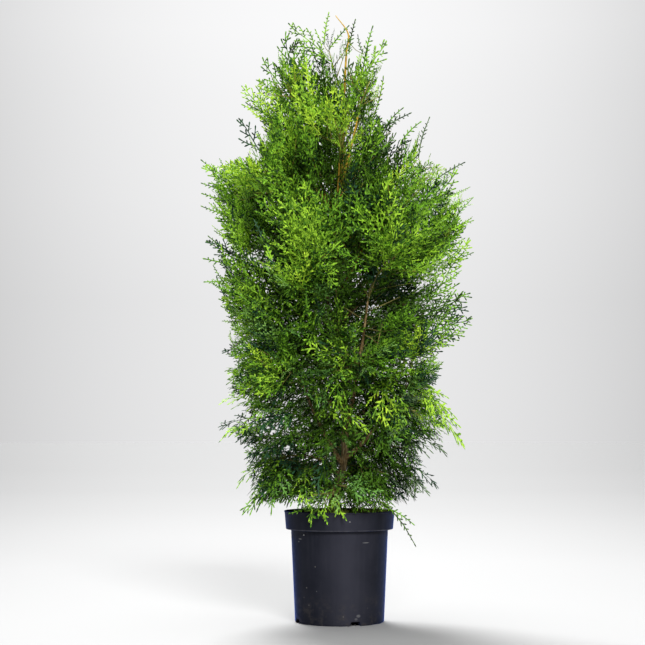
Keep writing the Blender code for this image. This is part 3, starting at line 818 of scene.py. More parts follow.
def plastic_material():
    """Dull recycled plastic: nearly black and bluish, with fine grain, scuffs, dust and dried dirt, and
    with painted light: highlights down the front and along the rim's lower edge, shade on the left and a
    blue rim light on the right.
    """
    n = Nodes("pot_plastic")
    streaks = n.noise(STREAKS, 4.0, 0.6, n.stretched(STREAK_STRETCH))
    colour = n.mix(n.between(streaks, *DUST_SPAN), plastic_with_painted_light(n), DUST_COLOUR)
    # Painted highlight along the rim's lower edge.
    at_edge = n.between(from_level(n, "Z", POT_HEIGHT - RIM_HEIGHT + EDGE_HIGHLIGHT_REACH), EDGE_HIGHLIGHT_REACH, 0.0)
    edge_highlight = n.math("MULTIPLY", at_edge, n.between(streaks, *EDGE_HIGHLIGHT_SPAN))
    colour = n.mix(edge_highlight, colour, EDGE_HIGHLIGHT_COLOUR)
    dirt = n.between(n.noise(DIRT_SCALE, 5.0, 0.65), *DIRT_SPAN)
    dirt = n.math("MULTIPLY", n.between(n.height(), DIRT_HEIGHT, 0.0), dirt)
    colour = n.mix(dirt, colour, DIRT_COLOUR)
    rare = n.between(n.noise(SPECK_GROUPS, 1.0), *SPECK_RARENESS)
    speck = n.math("MULTIPLY", n.between(n.voronoi(SPECK_SCALE)["Distance"], *SPECK_SIZES), rare)
    colour = n.mix(speck, colour, SPECK_COLOUR)
    ragged = n.between(n.noise(MARK_EDGE, 3.0), *MARK_RAGGED)
    for across, height, half_across, half_up, paleness in POT_MARKS:
        ahead = -math.sqrt(pot_radius(height) ** 2 - across**2)
        away = n.vector_math("SUBTRACT", n.place, (across, ahead, height))
        away = n.vector_math("MULTIPLY", away, (1 / half_across, 1 / half_across, 1 / half_up))
        far = n.vector_math("LENGTH", away)
        mark = n.math("MULTIPLY", n.between(far, 1.0, 0.5, 0.0, paleness), ragged)
        colour = n.mix(mark, colour, MARK_COLOUR)
    relief = n.bump(n.noise(GRAIN, 3.0), *GRAIN_RELIEF, n.bump(streaks, *STREAK_RELIEF))
    return n.set(
        Base_Color=colour,
        Roughness=n.between(n.noise(SCUFFS, 4.0), *SCUFF_ROUGHNESS),
        Specular_IOR_Level=0.055,
        Sheen_Weight=0.45,
        Sheen_Roughness=0.25,
        Sheen_Tint=BLUE_SHEEN,
        Normal=relief,
    )


SOIL_PATTERN = (190.0, 6.0, 0.7)
SOIL_TONES = (0.34, 0.60, 0.78)
SOIL_ROUGH = (420.0, 5.0, 0.7)
SOIL_RELIEF = (0.003, 0.9)
MOSS_PATTERN = (520.0, 4.0, 0.7)
MOSS_TONES = (0.35, 0.66)
MOSS_RELIEF = (0.0015, 0.8)


def soil_material(name, moist, dry, flecks):
    """Crumbly soil: moist and dry in patches, with pale flecks."""
    n = Nodes(name)
    return n.set(
        Base_Color=n.ramp(n.noise(*SOIL_PATTERN), list(zip(SOIL_TONES, (moist, dry, flecks)))),
        Roughness=0.95,
        Specular_IOR_Level=0.15,
        Normal=n.bump(n.noise(*SOIL_ROUGH), *SOIL_RELIEF),
    )


def moss_material(name, dark, light):
    """Moss that is dark between its tufts."""
    n = Nodes(name)
    tuft = n.noise(*MOSS_PATTERN)
    return n.set(
        Base_Color=n.ramp(tuft, list(zip(MOSS_TONES, (dark, light)))),
        Roughness=0.85,
        Normal=n.bump(tuft, *MOSS_RELIEF),
    )


# The pot.


def rounded(corners, radii, steps=5):
    """A section's corners, each rounded off by a radius."""
    points = [corners[0]]
    for before, corner, after, radius in zip(corners, corners[1:], corners[2:], radii[1:]):
        here = Vector(corner)
        back = (Vector(before) - here).normalized() * radius
        ahead = (Vector(after) - here).normalized() * radius
        if radius <= 0:
            points.append(corner)
            continue
        for i in range(steps + 1):
            u = i / steps
            points.append(tuple(here + back * (1 - u) ** 2 + ahead * u**2))
    return [*points, corners[-1]]


def turned(name, profile, material, steps=144):
    mesh = bpy.data.meshes.new(name)
    points = [(radius, 0.0, height) for radius, height in profile]
    mesh.from_pydata(points, [(i, i + 1) for i in range(len(points) - 1)], [])
    made = add_object(name, mesh, material)
    screw = made.modifiers.new("turn", "SCREW")
    screw.axis = "Z"
    screw.steps = screw.render_steps = steps
    screw.use_merge_vertices = True
    screw.merge_threshold = 1e-5
    return made


def prism(name, radii, width, heights, top_share, turn, collection):
    """A box out along a radius, with its top narrower than its foot, turned about the pot's axis."""
    low = (radii[0], -width / 2, heights[0])
    high = (radii[1], width / 2, heights[1])
    shape = bmesh.new()
    size = [b - a for a, b in zip(low, high)]
    middle = [(a + b) / 2 for a, b in zip(low, high)]
    bmesh.ops.create_cube(shape, size=1.0)
    for vert in shape.verts:
        if vert.co.z > 0:
            vert.co.y *= top_share
    place = Matrix.Rotation(turn, 4, "Z") @ Matrix.Translation(middle) @ Matrix.Diagonal((*size, 1.0))
    shape.transform(place)
    made = bpy.data.objects.new(name, drawn(shape, name))
    collection.objects.link(made)
    made.hide_render = True
    return made


def apply_modifiers(made):
    """Turns an object's modifiers into its mesh."""
    bpy.context.view_layer.update()
    graph = bpy.context.evaluated_depsgraph_get()
    mesh = bpy.data.meshes.new_from_object(made.evaluated_get(graph))
    made.modifiers.clear()
    made.data = mesh


NOTCH_WIDTH = 0.027
NOTCH_TOP_SHARE = 0.72
LIP_STEP = 0.0004
SHARP_ANGLE = math.radians(28)

# How far the corners of the pot's outside are rounded, from the lip's inner edge to the foot.
ROUNDINGS = (0, 0.0013, 0.0010, 0.0006, 0.0022, 0.0010, 0.0040)


def build_pot(material):
    shelf = POT_HEIGHT - RIM_HEIGHT
    lip = POT_HEIGHT - LIP_HEIGHT
    inside = [
        (0.0, WALL),
        (FOOT_RADIUS - 2 * WALL, WALL),
        (FOOT_RADIUS - WALL, 2 * WALL),
        (BODY_RADIUS - WALL, shelf + WALL),
        (RIM_LOW_RADIUS - WALL, shelf + WALL),
        (RIM_TOP_RADIUS - WALL, POT_HEIGHT - WALL),
        (RIM_TOP_RADIUS - WALL, POT_HEIGHT),
    ]
    outside = [
        (RIM_TOP_RADIUS - WALL, POT_HEIGHT),
        (LIP_RADIUS, POT_HEIGHT),
        (LIP_RADIUS, lip),
        (RIM_TOP_RADIUS, lip - LIP_STEP),
        (RIM_LOW_RADIUS, shelf),
        (BODY_RADIUS, shelf),
        (FOOT_RADIUS, 0.0),
        (0.0, 0.0),
    ]
    pot = turned("pot_shell", inside[:-1] + rounded(outside, ROUNDINGS), material)
    joins = bpy.data.collections.new("pot_joins")
    cuts = bpy.data.collections.new("pot_cuts")
    SCENE.children.link(joins)
    SCENE.children.link(cuts)
    channel = (DRAIN_INNER - WALL, FOOT_RADIUS - WALL / 2)
    start = DRAIN_INNER + WALL
    slot = (start, start + DRAIN_SLOT[0])
    boxes = (
        ("channel", channel, DRAIN_WIDTH + 2 * WALL, (WALL / 2, DRAIN_HEIGHT + WALL), 1.0, joins),
        ("notch", (DRAIN_INNER, LIP_RADIUS), NOTCH_WIDTH, (-WALL, DRAIN_HEIGHT), NOTCH_TOP_SHARE, cuts),
        ("slot", slot, DRAIN_SLOT[1], (WALL, DRAIN_HEIGHT + 2 * WALL), 1.0, cuts),
    )
    for i in range(DRAIN_COUNT):
        turn = DRAIN_AZIMUTH + i * 2 * math.pi / DRAIN_COUNT
        for name, radii, width, heights, top_share, collection in boxes:
            prism(f"{name}_{i}", radii, width, heights, top_share, turn, collection)
    for operation, collection in (("UNION", joins), ("DIFFERENCE", cuts)):
        modifier = pot.modifiers.new(operation.lower(), "BOOLEAN")
        modifier.operation = operation
        modifier.operand_type = "COLLECTION"
        modifier.collection = collection
        modifier.solver = "EXACT"
    apply_modifiers(pot)
    for collection in (joins, cuts):
        for helper in list(collection.objects):
            bpy.data.objects.remove(helper, do_unlink=True)
        bpy.data.collections.remove(collection)
    pot.data.shade_smooth()
    pot.data.set_sharp_from_angle(angle=SHARP_ANGLE)
    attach(pot, "root")
    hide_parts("pot")


# The soil's surface lies on the root ball: its rings and spokes, how far it is lifted, and its lumps
# and grains, each with a height, a scale and where the noise starts.
SOIL_RINGS = 70
SOIL_SPOKES = 220
SOIL_MIDDLE = 0.004
SOIL_GAP = 0.0004
SOIL_LIFT = 0.0016
SOIL_LUMPS = (0.0013, 60, 0.3)
SOIL_GRAINS = (0.0006, 330, 0.7)
SOIL_LEAST = 0.0004
SOIL_FADE = 0.004
SOIL_TUCK = 0.0002
SOIL_CENTRE_LIFT = 0.001


def soil_level(radius):
    """The root ball's height at a radius."""
    return float(np.interp(radius, (MOUND_RADIUS, RIM_LOW_RADIUS - WALL), (SOIL_MOUND, SOIL_EDGE)))


def build_soil(material, crumb_material):
    edge = RIM_LOW_RADIUS - WALL - SOIL_GAP
    lump_height, lump_scale, lump_start = SOIL_LUMPS
    grain_height, grain_scale, grain_start = SOIL_GRAINS
    rows = []
    for radius in np.linspace(SOIL_MIDDLE, edge, SOIL_RINGS):
        fade = min((edge - radius) / SOIL_FADE, 1.0)
        for angle in np.linspace(0, 2 * math.pi, SOIL_SPOKES, endpoint=False):
            x, y = radius * math.cos(angle), radius * math.sin(angle)
            lumps = noise.fractal(Vector((x, y, lump_start)) * lump_scale, 1.0, 2.1, 4)
            grains = noise.noise(Vector((x, y, grain_start)) * grain_scale)
            lift = max(SOIL_LIFT + lump_height * lumps + grain_height * grains, SOIL_LEAST)
            rows.append((x, y, soil_level(radius) + lift * fade - SOIL_TUCK * (1 - fade)))
    heap = Heap()
    heap.add(np.array(rows), ring_faces(SOIL_RINGS, SOIL_SPOKES)[:, ::-1])
    around = np.arange(SOIL_SPOKES)
    after = (around + 1) % SOIL_SPOKES
    heap.points.append(np.array([[0.0, 0.0, soil_level(0.0) + SOIL_CENTRE_LIFT]]))
    heap.faces.append(np.stack([np.full(SOIL_SPOKES, len(rows)), around, after], 1))
    soil = add_object("soil_surface", heap.mesh("soil_surface"), material)
    soil.data.shade_smooth()
    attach(soil, "root")
    build_crumbs(edge, crumb_material)


# Loose crumbs, bits of bark and grit on the soil.
CRUMBS = 420
CRUMB_SEED = 11
CRUMB_PLACES = (0.03, 0.93)
CRUMB_SIZES = (0.0008, 0.0026)
CRUMB_FLATNESS = (0.35, 0.9)
CRUMB_STRETCH = (0.8, 1.9)
CRUMB_LIFT = 0.0016
CRUMB_DENTS = 0.18


def build_crumbs(edge, material):
    """The crumbs as one mesh of small uneven lumps."""
    dice = random.Random(CRUMB_SEED)
    shape = bmesh.new()
    for _ in range(CRUMBS):
        radius = edge * math.sqrt(dice.uniform(*CRUMB_PLACES))
        angle = dice.uniform(0, 2 * math.pi)
        size = dice.uniform(*CRUMB_SIZES)
        flat = dice.uniform(*CRUMB_FLATNESS)
        up = soil_level(radius) + CRUMB_LIFT
        place = Vector((radius * math.cos(angle), radius * math.sin(angle), up))
        turn = Quaternion([dice.gauss(0, 1) for _ in range(3)], dice.uniform(0, 3))
        matrix = Matrix.Translation(place) @ turn.to_matrix().to_4x4()
        matrix @= Matrix.Diagonal((size * dice.uniform(*CRUMB_STRETCH), size, size * flat, 1.0))
        made = bmesh.ops.create_icosphere(shape, subdivisions=1, radius=1.0, matrix=matrix)
        for vert in made["verts"]:
            vert.co += Vector([dice.uniform(-CRUMB_DENTS, CRUMB_DENTS) * size for _ in range(3)])
    crumbs = add_object("soil_crumbs", drawn(shape, "soil_crumbs"), material)
    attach(crumbs, "root")


# Moss and seedlings on the soil, mostly near the rim at the front and right.
MOSS_SEED = 21
MOSS_TUFTS = 70
MOSS_BLADES = 16
MOSS_AZIMUTH = (-58, 30)
MOSS_RADII = (0.070, 0.111)
MOSS_HEIGHTS = (0.006, 0.016)
MOSS_WIDTH = 0.0017
MOSS_REACH = 0.1150
MOSS_SPREAD = 0.004
MOSS_LEAN = 0.45
MOSS_WIDEST = 0.6
MOSS_FOOT_SHARE = 0.6
BLADE_FACES = np.array([(0, 1, 2), (0, 2, 4), (4, 2, 3)])


def build_moss(material):
    """Tufts of narrow upright blades."""
    dice = random.Random(MOSS_SEED)
    heap = Heap()
    for _ in range(MOSS_TUFTS):
        azimuth = math.radians(dice.gauss(*MOSS_AZIMUTH))
        radius = dice.uniform(*MOSS_RADII)
        foot = Vector((radius * math.cos(azimuth), radius * math.sin(azimuth), soil_level(radius)))
        for _ in range(MOSS_BLADES):
            root = foot + Vector((dice.gauss(0, MOSS_SPREAD), dice.gauss(0, MOSS_SPREAD), 0.0))
            lean = Vector((dice.gauss(0, MOSS_LEAN), dice.gauss(0, MOSS_LEAN), 1.0)).normalized()
            tip = root + lean * dice.uniform(*MOSS_HEIGHTS)
            if max(math.hypot(root.x, root.y), math.hypot(tip.x, tip.y)) > MOSS_REACH:
                continue
            side = level(dice.uniform(0, math.pi)) * MOSS_WIDTH / 2
            foot_side = side * MOSS_FOOT_SHARE
            middle = root.lerp(tip, MOSS_WIDEST)
            blade = (root - foot_side, root + foot_side, middle + side, tip, middle - side)
            heap.add(rows_of(blade), BLADE_FACES)
    moss = add_object("soil_moss", heap.mesh("soil_moss"), material)
    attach(moss, "root")


# Bark.
TRUNK_RINGS = 300
TRUNK_SPOKES = 30
BOUGH_RINGS = 42
BOUGH_SPOKES = 14
RING_CROWDING = 1.25
HIGH_BARK = 0.70

# The bark's furrows, strings and knots: how high each stands, as a share of the limb's radius, how
# fine it is round the limb and along it, and where its noise starts.
BARK_LAYERS = ((0.13, 1.9, 24, (0, 0)), (0.07, 4.6, 55, (7, 0)), (0.06, 0.0, 40, (3, 9)))


def bark_relief(angle, place):
    """How far the bark stands out of a limb: long furrows between stringy ridges."""
    reach = 1.0
    for height, round_scale, long_scale, (x, y) in BARK_LAYERS:
        spot = level(angle) * round_scale + Vector((x, y, place[2] * long_scale))
        reach += height * noise.noise(spot)
    return reach


def build_bark(trunk_material, low_material, high_material):
    low, high = TRUNK_HEIGHTS[0], TRUNK_HEIGHTS[-1]
    heights = low + (high - low) * np.linspace(0, 1, TRUNK_RINGS) ** RING_CROWDING
    route = [trunk_point(h) for h in heights]
    points, faces = tube(route, [trunk_radius(h) for h in heights], TRUNK_SPOKES, bark_relief)
    trunk = add_object("trunk_bark", mesh_of("trunk_bark", points, faces), trunk_material)
    trunk.data.shade_smooth()
    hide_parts("trunk")
    groups = {"boughs_low": (Heap(), [], low_material), "boughs_high": (Heap(), [], high_material)}
    for name, line, widths in bough_plans(BOUGH_RINGS):
        heap, names, _ = groups["boughs_high" if line[0].z > HIGH_BARK else "boughs_low"]
        heap.add(*tube(line, widths, BOUGH_SPOKES, bark_relief))
        names.append(name)
    made = [trunk]
    for group, (heap, names, material) in groups.items():
        bough = add_object(group + "_bark", heap.mesh(group), material)
        bough.data.shade_smooth()
        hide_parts(*names)
        made.append(bough)
    for piece in made:
        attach(piece, "root")


# Fronds.
PINNA_WIDTHS = (0.0027, 0.0028, 0.0026, 0.0020)
AXIS_WIDTHS = (0.0028, 0.0018)
TEMPLATE_LENGTHS = (0.170, 0.170, 0.150, 0.150, 0.130, 0.130, 0.110, 0.110, 0.090, 0.090)
SHOOT_LENGTHS = (0.055, 0.065, 0.075, 0.090)


class Habit:
    """How a kind of frond is put together: its branchlets' angle and reach, and its fingers."""

    def __init__(self, angle, share, step, finger_angle, finger_length, finger_width, finger_step):
        self.angle, self.share, self.step = math.radians(angle), share, step
        self.finger_angle, self.finger_length = math.radians(finger_angle), finger_length
        self.finger_width, self.finger_step = finger_width, finger_step


UPRIGHT = Habit(44, 0.37, 0.0124, 50, 0.0102, 0.0034, 0.0056)
HANGING = Habit(50, 0.40, 0.0114, 42, 0.0116, 0.0033, 0.0054)
SHOOT = Habit(30, 0.30, 0.0105, 50, 0.0094, 0.0029, 0.0052)

# How a branchlet curves and sags, where its fingers start and end, and how they vary and swell.
PINNA_CURVES = (0.10, 0.45)
PINNA_SAGS = (-0.10, 0.16)
FINGERS_FROM = (0.0045, 0.002)
FINGERS_END = 0.002
FINGER_SWELL = ((0.62, 1.4), (0.50, 1.25))
FINGER_SIZES = (0.80, 1.25)
FINGER_ANGLES = (0.82, 1.15)
FINGER_LIFT = (-0.1, 0.20)
FINGER_TILT = 0.44
STEP_NOISE = (0.85, 1.15)

# A finger's outline: where it is widest, its foot's half width, and its ridge's place and height.
FINGER_WIDEST = 0.72
FINGER_FOOT = 0.36
FINGER_SLIMNESS = (0.6, 0.4)
FINGER_RIDGE = (0.5, 0.20)
FINGER_FACES = np.array([(0, 1, 5), (1, 2, 5), (2, 3, 5), (3, 4, 5), (4, 0, 5)])

# How a frond's axis waves and sways, where its branchlets start and end, and how they vary.
FROND_WAVE = 0.25
FROND_SWAY = 0.15
PINNAE_FROM = 0.10
PINNAE_END = 0.90
PINNA_ANGLE_EASE = (1.10, 0.30)
PINNA_ANGLES = (0.88, 1.12)
PINNA_SWELL = ((0.50, 2.4), (0.08, 1.30), 1.15)
PINNA_REACHES = (0.78, 1.18)
PINNA_LEAST = 0.014
PINNA_TILT = 0.15
PINNA_ROLL = 0.24
END_PINNA = (0.84, 0.16, 0.006)
AXIS_POINTS = 10


def strip(points, widths, normals):
    """A narrow strip along points, folded to a low ridge."""
    points = np.asarray(points)
    steps = np.gradient(points, axis=0)
    steps /= np.linalg.norm(steps, axis=1)[:, None]
    sides = np.cross(normals, steps)
    sides /= np.linalg.norm(sides, axis=1)[:, None]
    half = np.asarray(widths)[:, None] / 2
    verts = np.concatenate([points - sides * half, points + sides * half])
    n = len(points)
    i = np.arange(n - 1)
    faces = np.concatenate([np.stack([i, i + 1, i + n + 1], 1), np.stack([i, i + n + 1, i + n], 1)])
    return verts, faces


def pinna_parts(habit, base, axes, length, side, dice):
    """One flat branchlet: its strip and its alternate fingers, as arrays."""
    curve = -side * dice.uniform(*PINNA_CURVES)
    sag = dice.uniform(*PINNA_SAGS)

    def spot(s):
        u = s / length
        turn = curve * u
        return np.array([s * math.cos(turn * 0.5), s * math.sin(turn * 0.5), -sag * s * u]), turn

    roots, headings, faces, sizes = [], [], [], []
    s, hand = FINGERS_FROM[0] + dice.uniform(0, FINGERS_FROM[1]), side
    while s < length - FINGERS_END:
        place, turn = spot(s)
        swell = swelling(s / length, *FINGER_SWELL)
        size = habit.finger_length * swell * dice.uniform(*FINGER_SIZES)
        angle = turn + hand * habit.finger_angle * dice.uniform(*FINGER_ANGLES)
        lift = dice.gauss(*FINGER_LIFT)
        cos, sin, flat = math.cos(angle), math.sin(angle), math.cos(lift)
        heading = np.array([cos * flat, sin * flat, math.sin(lift)])
        tilt = dice.gauss(0, FINGER_TILT)
        across = np.array([-sin, cos, 0.0])
        normal = np.cross(heading, across)
        roots.append(place)
        headings.append(heading)
        faces.append(normal * math.cos(tilt) + across * math.sin(tilt))
        sizes.append(size)
        s += habit.finger_step * dice.uniform(*STEP_NOISE)
        hand = -hand
    place, turn = spot(length)
    roots.append(place)
    headings.append(np.array([math.cos(turn), math.sin(turn), FINGER_LIFT[0]]))
    faces.append(np.array([0.0, 0.0, 1.0]))
    sizes.append(habit.finger_length)
    line = np.array([spot(length * i / 3)[0] for i in range(4)])
    roots = np.array(roots) @ axes + base
    headings = np.array(headings) @ axes
    faces = np.array(faces) @ axes
    line = line @ axes + base
    normals = np.tile(np.array([0.0, 0.0, 1.0]) @ axes, (4, 1))
    return (roots, headings, faces, np.array(sizes)), strip(line, PINNA_WIDTHS, normals)


def fingers(habit, roots, headings, normals, sizes):
    """Scale-leaved fingers: narrow at the foot, widest past the middle, and folded to a ridge."""
    headings = headings / np.linalg.norm(headings, axis=1)[:, None]
    sides = np.cross(normals, headings)
    sides /= np.linalg.norm(sides, axis=1)[:, None]
    normals = np.cross(headings, sides)
    length = sizes[:, None]
    least, more = FINGER_SLIMNESS
    width = (habit.finger_width * (least + more * sizes / habit.finger_length))[:, None]
    wide = roots + headings * length * FINGER_WIDEST
    ridge, height = FINGER_RIDGE
    corners = [
        roots + sides * width * FINGER_FOOT,
        roots - sides * width * FINGER_FOOT,
        wide - sides * width / 2,
        roots + headings * length,
        wide + sides * width / 2,
        roots + headings * length * ridge + normals * width * height,
    ]
    firsts = len(corners) * np.arange(len(roots))
    faces = (FINGER_FACES[None] + firsts[:, None, None]).reshape(-1, 3)
    return np.stack(corners, axis=1).reshape(-1, 3), faces


def turn_matrix(angle, tilt, roll):
    """Axes, as rows, of a branchlet turned in the frond's plane, tilted out of it and rolled."""
    turn = Matrix.Rotation(angle, 3, "Z") @ Matrix.Rotation(-tilt, 3, "Y") @ Matrix.Rotation(roll, 3, "X")
    return np.array(turn).T


def shoot_template(length, dice):
    """A thin young shoot with a few long fingers."""
    heap = Heap()
    parts, ribbon = pinna_parts(SHOOT, np.zeros(3), np.eye(3), length, 1, dice)
    heap.add(*ribbon)
    heap.add(*fingers(SHOOT, *parts))
    return length, np.concatenate(heap.points), np.concatenate(heap.faces)


def frond_template(habit, length, dice):
    """A flat spray: an axis with alternate branchlets that carry alternate fingers."""
    heap = Heap()
    wave = dice.uniform(-FROND_WAVE, FROND_WAVE)
    sway = dice.uniform(-FROND_SWAY, FROND_SWAY)
    groups = []

    def axis(u):
        angle = wave * math.sin(math.pi * u) + sway * u
        aside = wave * (1 - math.cos(math.pi * u)) / math.pi + sway * u * u / 2
        return np.array([length * u, length * aside, 0.0]), angle

    def add_pinna(place, axes, reach, hand):
        parts, ribbon = pinna_parts(habit, place, axes, reach, hand, dice)
        groups.append(parts)
        heap.add(*ribbon)

    x = length * PINNAE_FROM
    hand = 1 if dice.random() < 0.5 else -1
    while x < length * PINNAE_END:
        u = x / length
        place, lean = axis(u)
        ease = PINNA_ANGLE_EASE[0] - PINNA_ANGLE_EASE[1] * u
        angle = lean + hand * habit.angle * ease * dice.uniform(*PINNA_ANGLES)
        reach = habit.share * length * swelling(u, *PINNA_SWELL) * dice.uniform(*PINNA_REACHES)
        axes = turn_matrix(angle, dice.gauss(0.0, PINNA_TILT), dice.gauss(0, PINNA_ROLL))
        add_pinna(place, axes, max(reach, PINNA_LEAST), hand)
        x += habit.step * dice.uniform(*STEP_NOISE)
        hand = -hand
    at, share, gap = END_PINNA
    place, lean = axis(at)
    add_pinna(place, turn_matrix(lean, 0.0, 0.0), length * share - gap, hand)
    line = np.array([axis(u)[0] for u in np.linspace(0, PINNAE_END, AXIS_POINTS)])
    widths = np.linspace(*AXIS_WIDTHS, AXIS_POINTS)
    heap.add(*strip(line, widths, np.tile((0.0, 0.0, 1.0), (AXIS_POINTS, 1))))
    merged = [np.concatenate([group[i] for group in groups]) for i in range(4)]
    heap.add(*fingers(habit, *merged))
    return length, np.concatenate(heap.points), np.concatenate(heap.faces)


# The visible model keeps to this box: across, depth and height, low corner and high one.
MODEL_LOW = np.array((-0.311, -0.306, 0.0))
MODEL_HIGH = np.array((0.300, 0.306, 1.343))
FROND_SHRINK = 0.92
SHRINK_TRIES = 9

# Low fronds arch over and hang, high ones curve upwards: metres per square metre of their length.
DROOP_HEIGHTS = (0.25, 0.45, 0.70, 1.00, 1.30)
DROOPS = (2.6, 2.2, 0.2, -0.8, -1.0)
DROOP_NOISE = (0.5, 1.5)
DRAPES = (4.0, 11.0)
HANGING_BELOW = 0.56
HANGING_NOISE = 0.06

# How far a frond's sides cup, its length curls and its axis twists.
FROND_CUP = 0.8
FROND_CURL = 0.9
FROND_TWIST = 2.0
FROND_CENTRE = 0.55


class Frond:
    """Where one spray grows, of which kind and tint it is, and how it is bent."""

    def __init__(self, matrix, length, dice, kind=None, tint=None):
        self.matrix, self.length, self.tint = matrix, length, tint
        self.centre = matrix @ Vector((length * FROND_CENTRE, 0, 0))
        low = self.centre.z + dice.gauss(0, HANGING_NOISE) < HANGING_BELOW
        self.kind = kind or ("hanging" if low else "upright")
        self.cup = dice.gauss(0.0, FROND_CUP)
        self.curl = dice.gauss(0.0, FROND_CURL)
        self.twist = dice.gauss(0.0, FROND_TWIST)
        self.droop = float(np.interp(self.centre.z, DROOP_HEIGHTS, DROOPS)) * dice.uniform(*DROOP_NOISE)
        self.drape = dice.uniform(*DRAPES) if self.kind == "hanging" else 0.0
        self.free = False

    def axis_point(self, share):
        """A place on the frond's axis as it is bent."""
        x = self.length * share
        return Vector(bent_points(self, np.array([[x, 0.0, 0.0]]))[0])


def place_frond(frond, template):
    """A template's points, scaled, bent and turned to where the frond grows, within the crown."""
    length, points, faces = template
    for _ in range(SHRINK_TRIES):
        world = bent_points(frond, points * frond.length / length)
        if (world > MODEL_LOW).all() and (world < MODEL_HIGH).all():
            slack = TIP_SLACK if frond.kind == "shoot" else FROND_SLACK
            if frond.free or outside_share(world, slack) < OUTSIDE_ALLOWED:
                break
        frond.length *= FROND_SHRINK
    return world, faces


def bent_points(frond, points):
    x, y, z = points.T
    turn = frond.twist * x
    bent_y = y * np.cos(turn) - z * np.sin(turn)
    bent_z = y * np.sin(turn) + z * np.cos(turn)
    bent_z = bent_z + frond.curl * x * x - frond.cup * y * y
    local = np.stack([x, bent_y, bent_z], axis=1)
    matrix = np.array(frond.matrix)
    world = local @ matrix[:3, :3].T + matrix[:3, 3]
    world[:, 2] -= frond.droop * x * x + frond.drape * y * y
    return world


# The visible crown: where the photo's outline runs, to the left and to the right, at each height.
SKIN_HEIGHTS = (
    0.17, 0.22, 0.243, 0.265, 0.287, 0.331, 0.375, 0.419, 0.463, 0.485, 0.573, 0.617, 0.661, 0.727,
    0.793, 0.837, 0.881, 0.925, 0.969, 0.991, 1.013, 1.057, 1.101, 1.145, 1.189, 1.233, 1.277, 1.321,
    1.345,
)
SKIN_LEFT = (
    0.12, 0.200, 0.213, 0.205, 0.200, 0.209, 0.212, 0.260, 0.215, 0.249, 0.260, 0.242, 0.251, 0.280,
    0.268, 0.266, 0.273, 0.288, 0.273, 0.310, 0.233, 0.205, 0.180, 0.213, 0.165, 0.136, 0.143, 0.086,
    0.010,
)
SKIN_RIGHT = (
    0.12, 0.134, 0.150, 0.176, 0.205, 0.198, 0.216, 0.270, 0.229, 0.215, 0.235, 0.255, 0.285, 0.262,
    0.264, 0.290, 0.290, 0.286, 0.240, 0.235, 0.192, 0.180, 0.098, 0.095, 0.095, 0.100, 0.090, 0.024,
    0.010,
)
SKIN_SHIFT = 0.030
SKIN_TURNS = 3
SKIN_PHASE = 0.8
SKIN_EVEN_SPAN = 0.075
SKIRT = 0.252
CEILING = 1.235
TIP_SLACK = 0.008
FROND_SLACK = -0.003
OUTSIDE_ALLOWED = 0.012


def outline_reach(height, values, evenness):
    """The outline's reach at a height, its lobes evened out where it faces the front or the back."""
    places = [height + shift * SKIN_EVEN_SPAN for shift in (-1.0, -0.5, 0.0, 0.5, 1.0)]
    reaches = [np.interp(place, SKIN_HEIGHTS, values, left=0.0, right=0.0) for place in places]
    inside = (places[0] > SKIN_HEIGHTS[0]) & (places[-1] < SKIN_HEIGHTS[-4])
    return reaches[2] + (sum(reaches) / len(reaches) - reaches[2]) * evenness * inside


def skin_reach(height, azimuth):
    """The reach of the visible crown: the outline's lobes, moved up and down on the way round."""
    moved = height + SKIN_SHIFT * np.sin(azimuth) * np.sin(SKIN_TURNS * azimuth + SKIN_PHASE)
    left, right = [
        outline_reach(moved, values, np.sin(azimuth) ** 2) for values in (SKIN_LEFT, SKIN_RIGHT)
    ]
    return left + (right - left) * (1 + np.cos(azimuth)) / 2


def inside_skin(points, slack):
    radius = np.hypot(points[:, 0], points[:, 1])
    reach = skin_reach(points[:, 2], np.arctan2(points[:, 1], points[:, 0]))
    above_skirt = points[:, 2] > SKIRT - slack / 2
    return (radius < reach + slack) & above_skirt & (points[:, 2] < CEILING + slack)


def outside_share(points, slack):
    """The share of points that stand out of the visible crown by more than a slack."""
    return 1.0 - float(inside_skin(points, slack).mean())


# Finer growth on each mass, which rises more steeply than its sprays do.
FINE_TWIGS = 9
FINE_TWIG_TRIES = 36
FINE_LENGTHS = (0.030, 0.085)
FINE_RADII = (0.0009, 0.0006)
FINE_TRIES = 300
FINE_SPRAYS = (0.085, 0.160)
FINE_SHRINKS = (1.0, 0.85, 0.7, 0.58)
FINE_COUNT = 950
FROND_ROOM = 0.009
FINE_SEED = 900
FINE_RISE = (-30, -8, 24, 46, 60, 78)
FINE_PLACES = (0.15, 1.0)
FINE_TURN = 0.9
FINE_HABIT = 0.8
FINE_NOISE = 0.55
TWIG_INSET = -0.03

# A finer spray's heading: how far it turns aside, how much it follows its twig and its habit.
HEADING_TURN = 0.55
HEADING_ALONG = 0.45
HEADING_HABIT = 1.3
HEADING_NOISE = 0.30
HANGING_OUT = 0.5
NEARLY_OUT = 0.95
TIP_CHANCE = 0.3
ALONG_CARRIER = (0.1, 1.0)
KIND_NOISE = 0.10
FILLING_TWIGS = 260
FILLING_HEIGHTS = (0.28, 1.12)
FILLING_LEAST = 0.035
FILLING_TRIES = 9
FILLING_TURN = 0.8
FILLING_ALONG = 0.3
FILLING_NOISE = 0.35
FILLING_ROOM = 0.75
FILLING_LENGTHS = (0.50, 1.10)
FILLING_BOWS = (-0.010, 0.014)

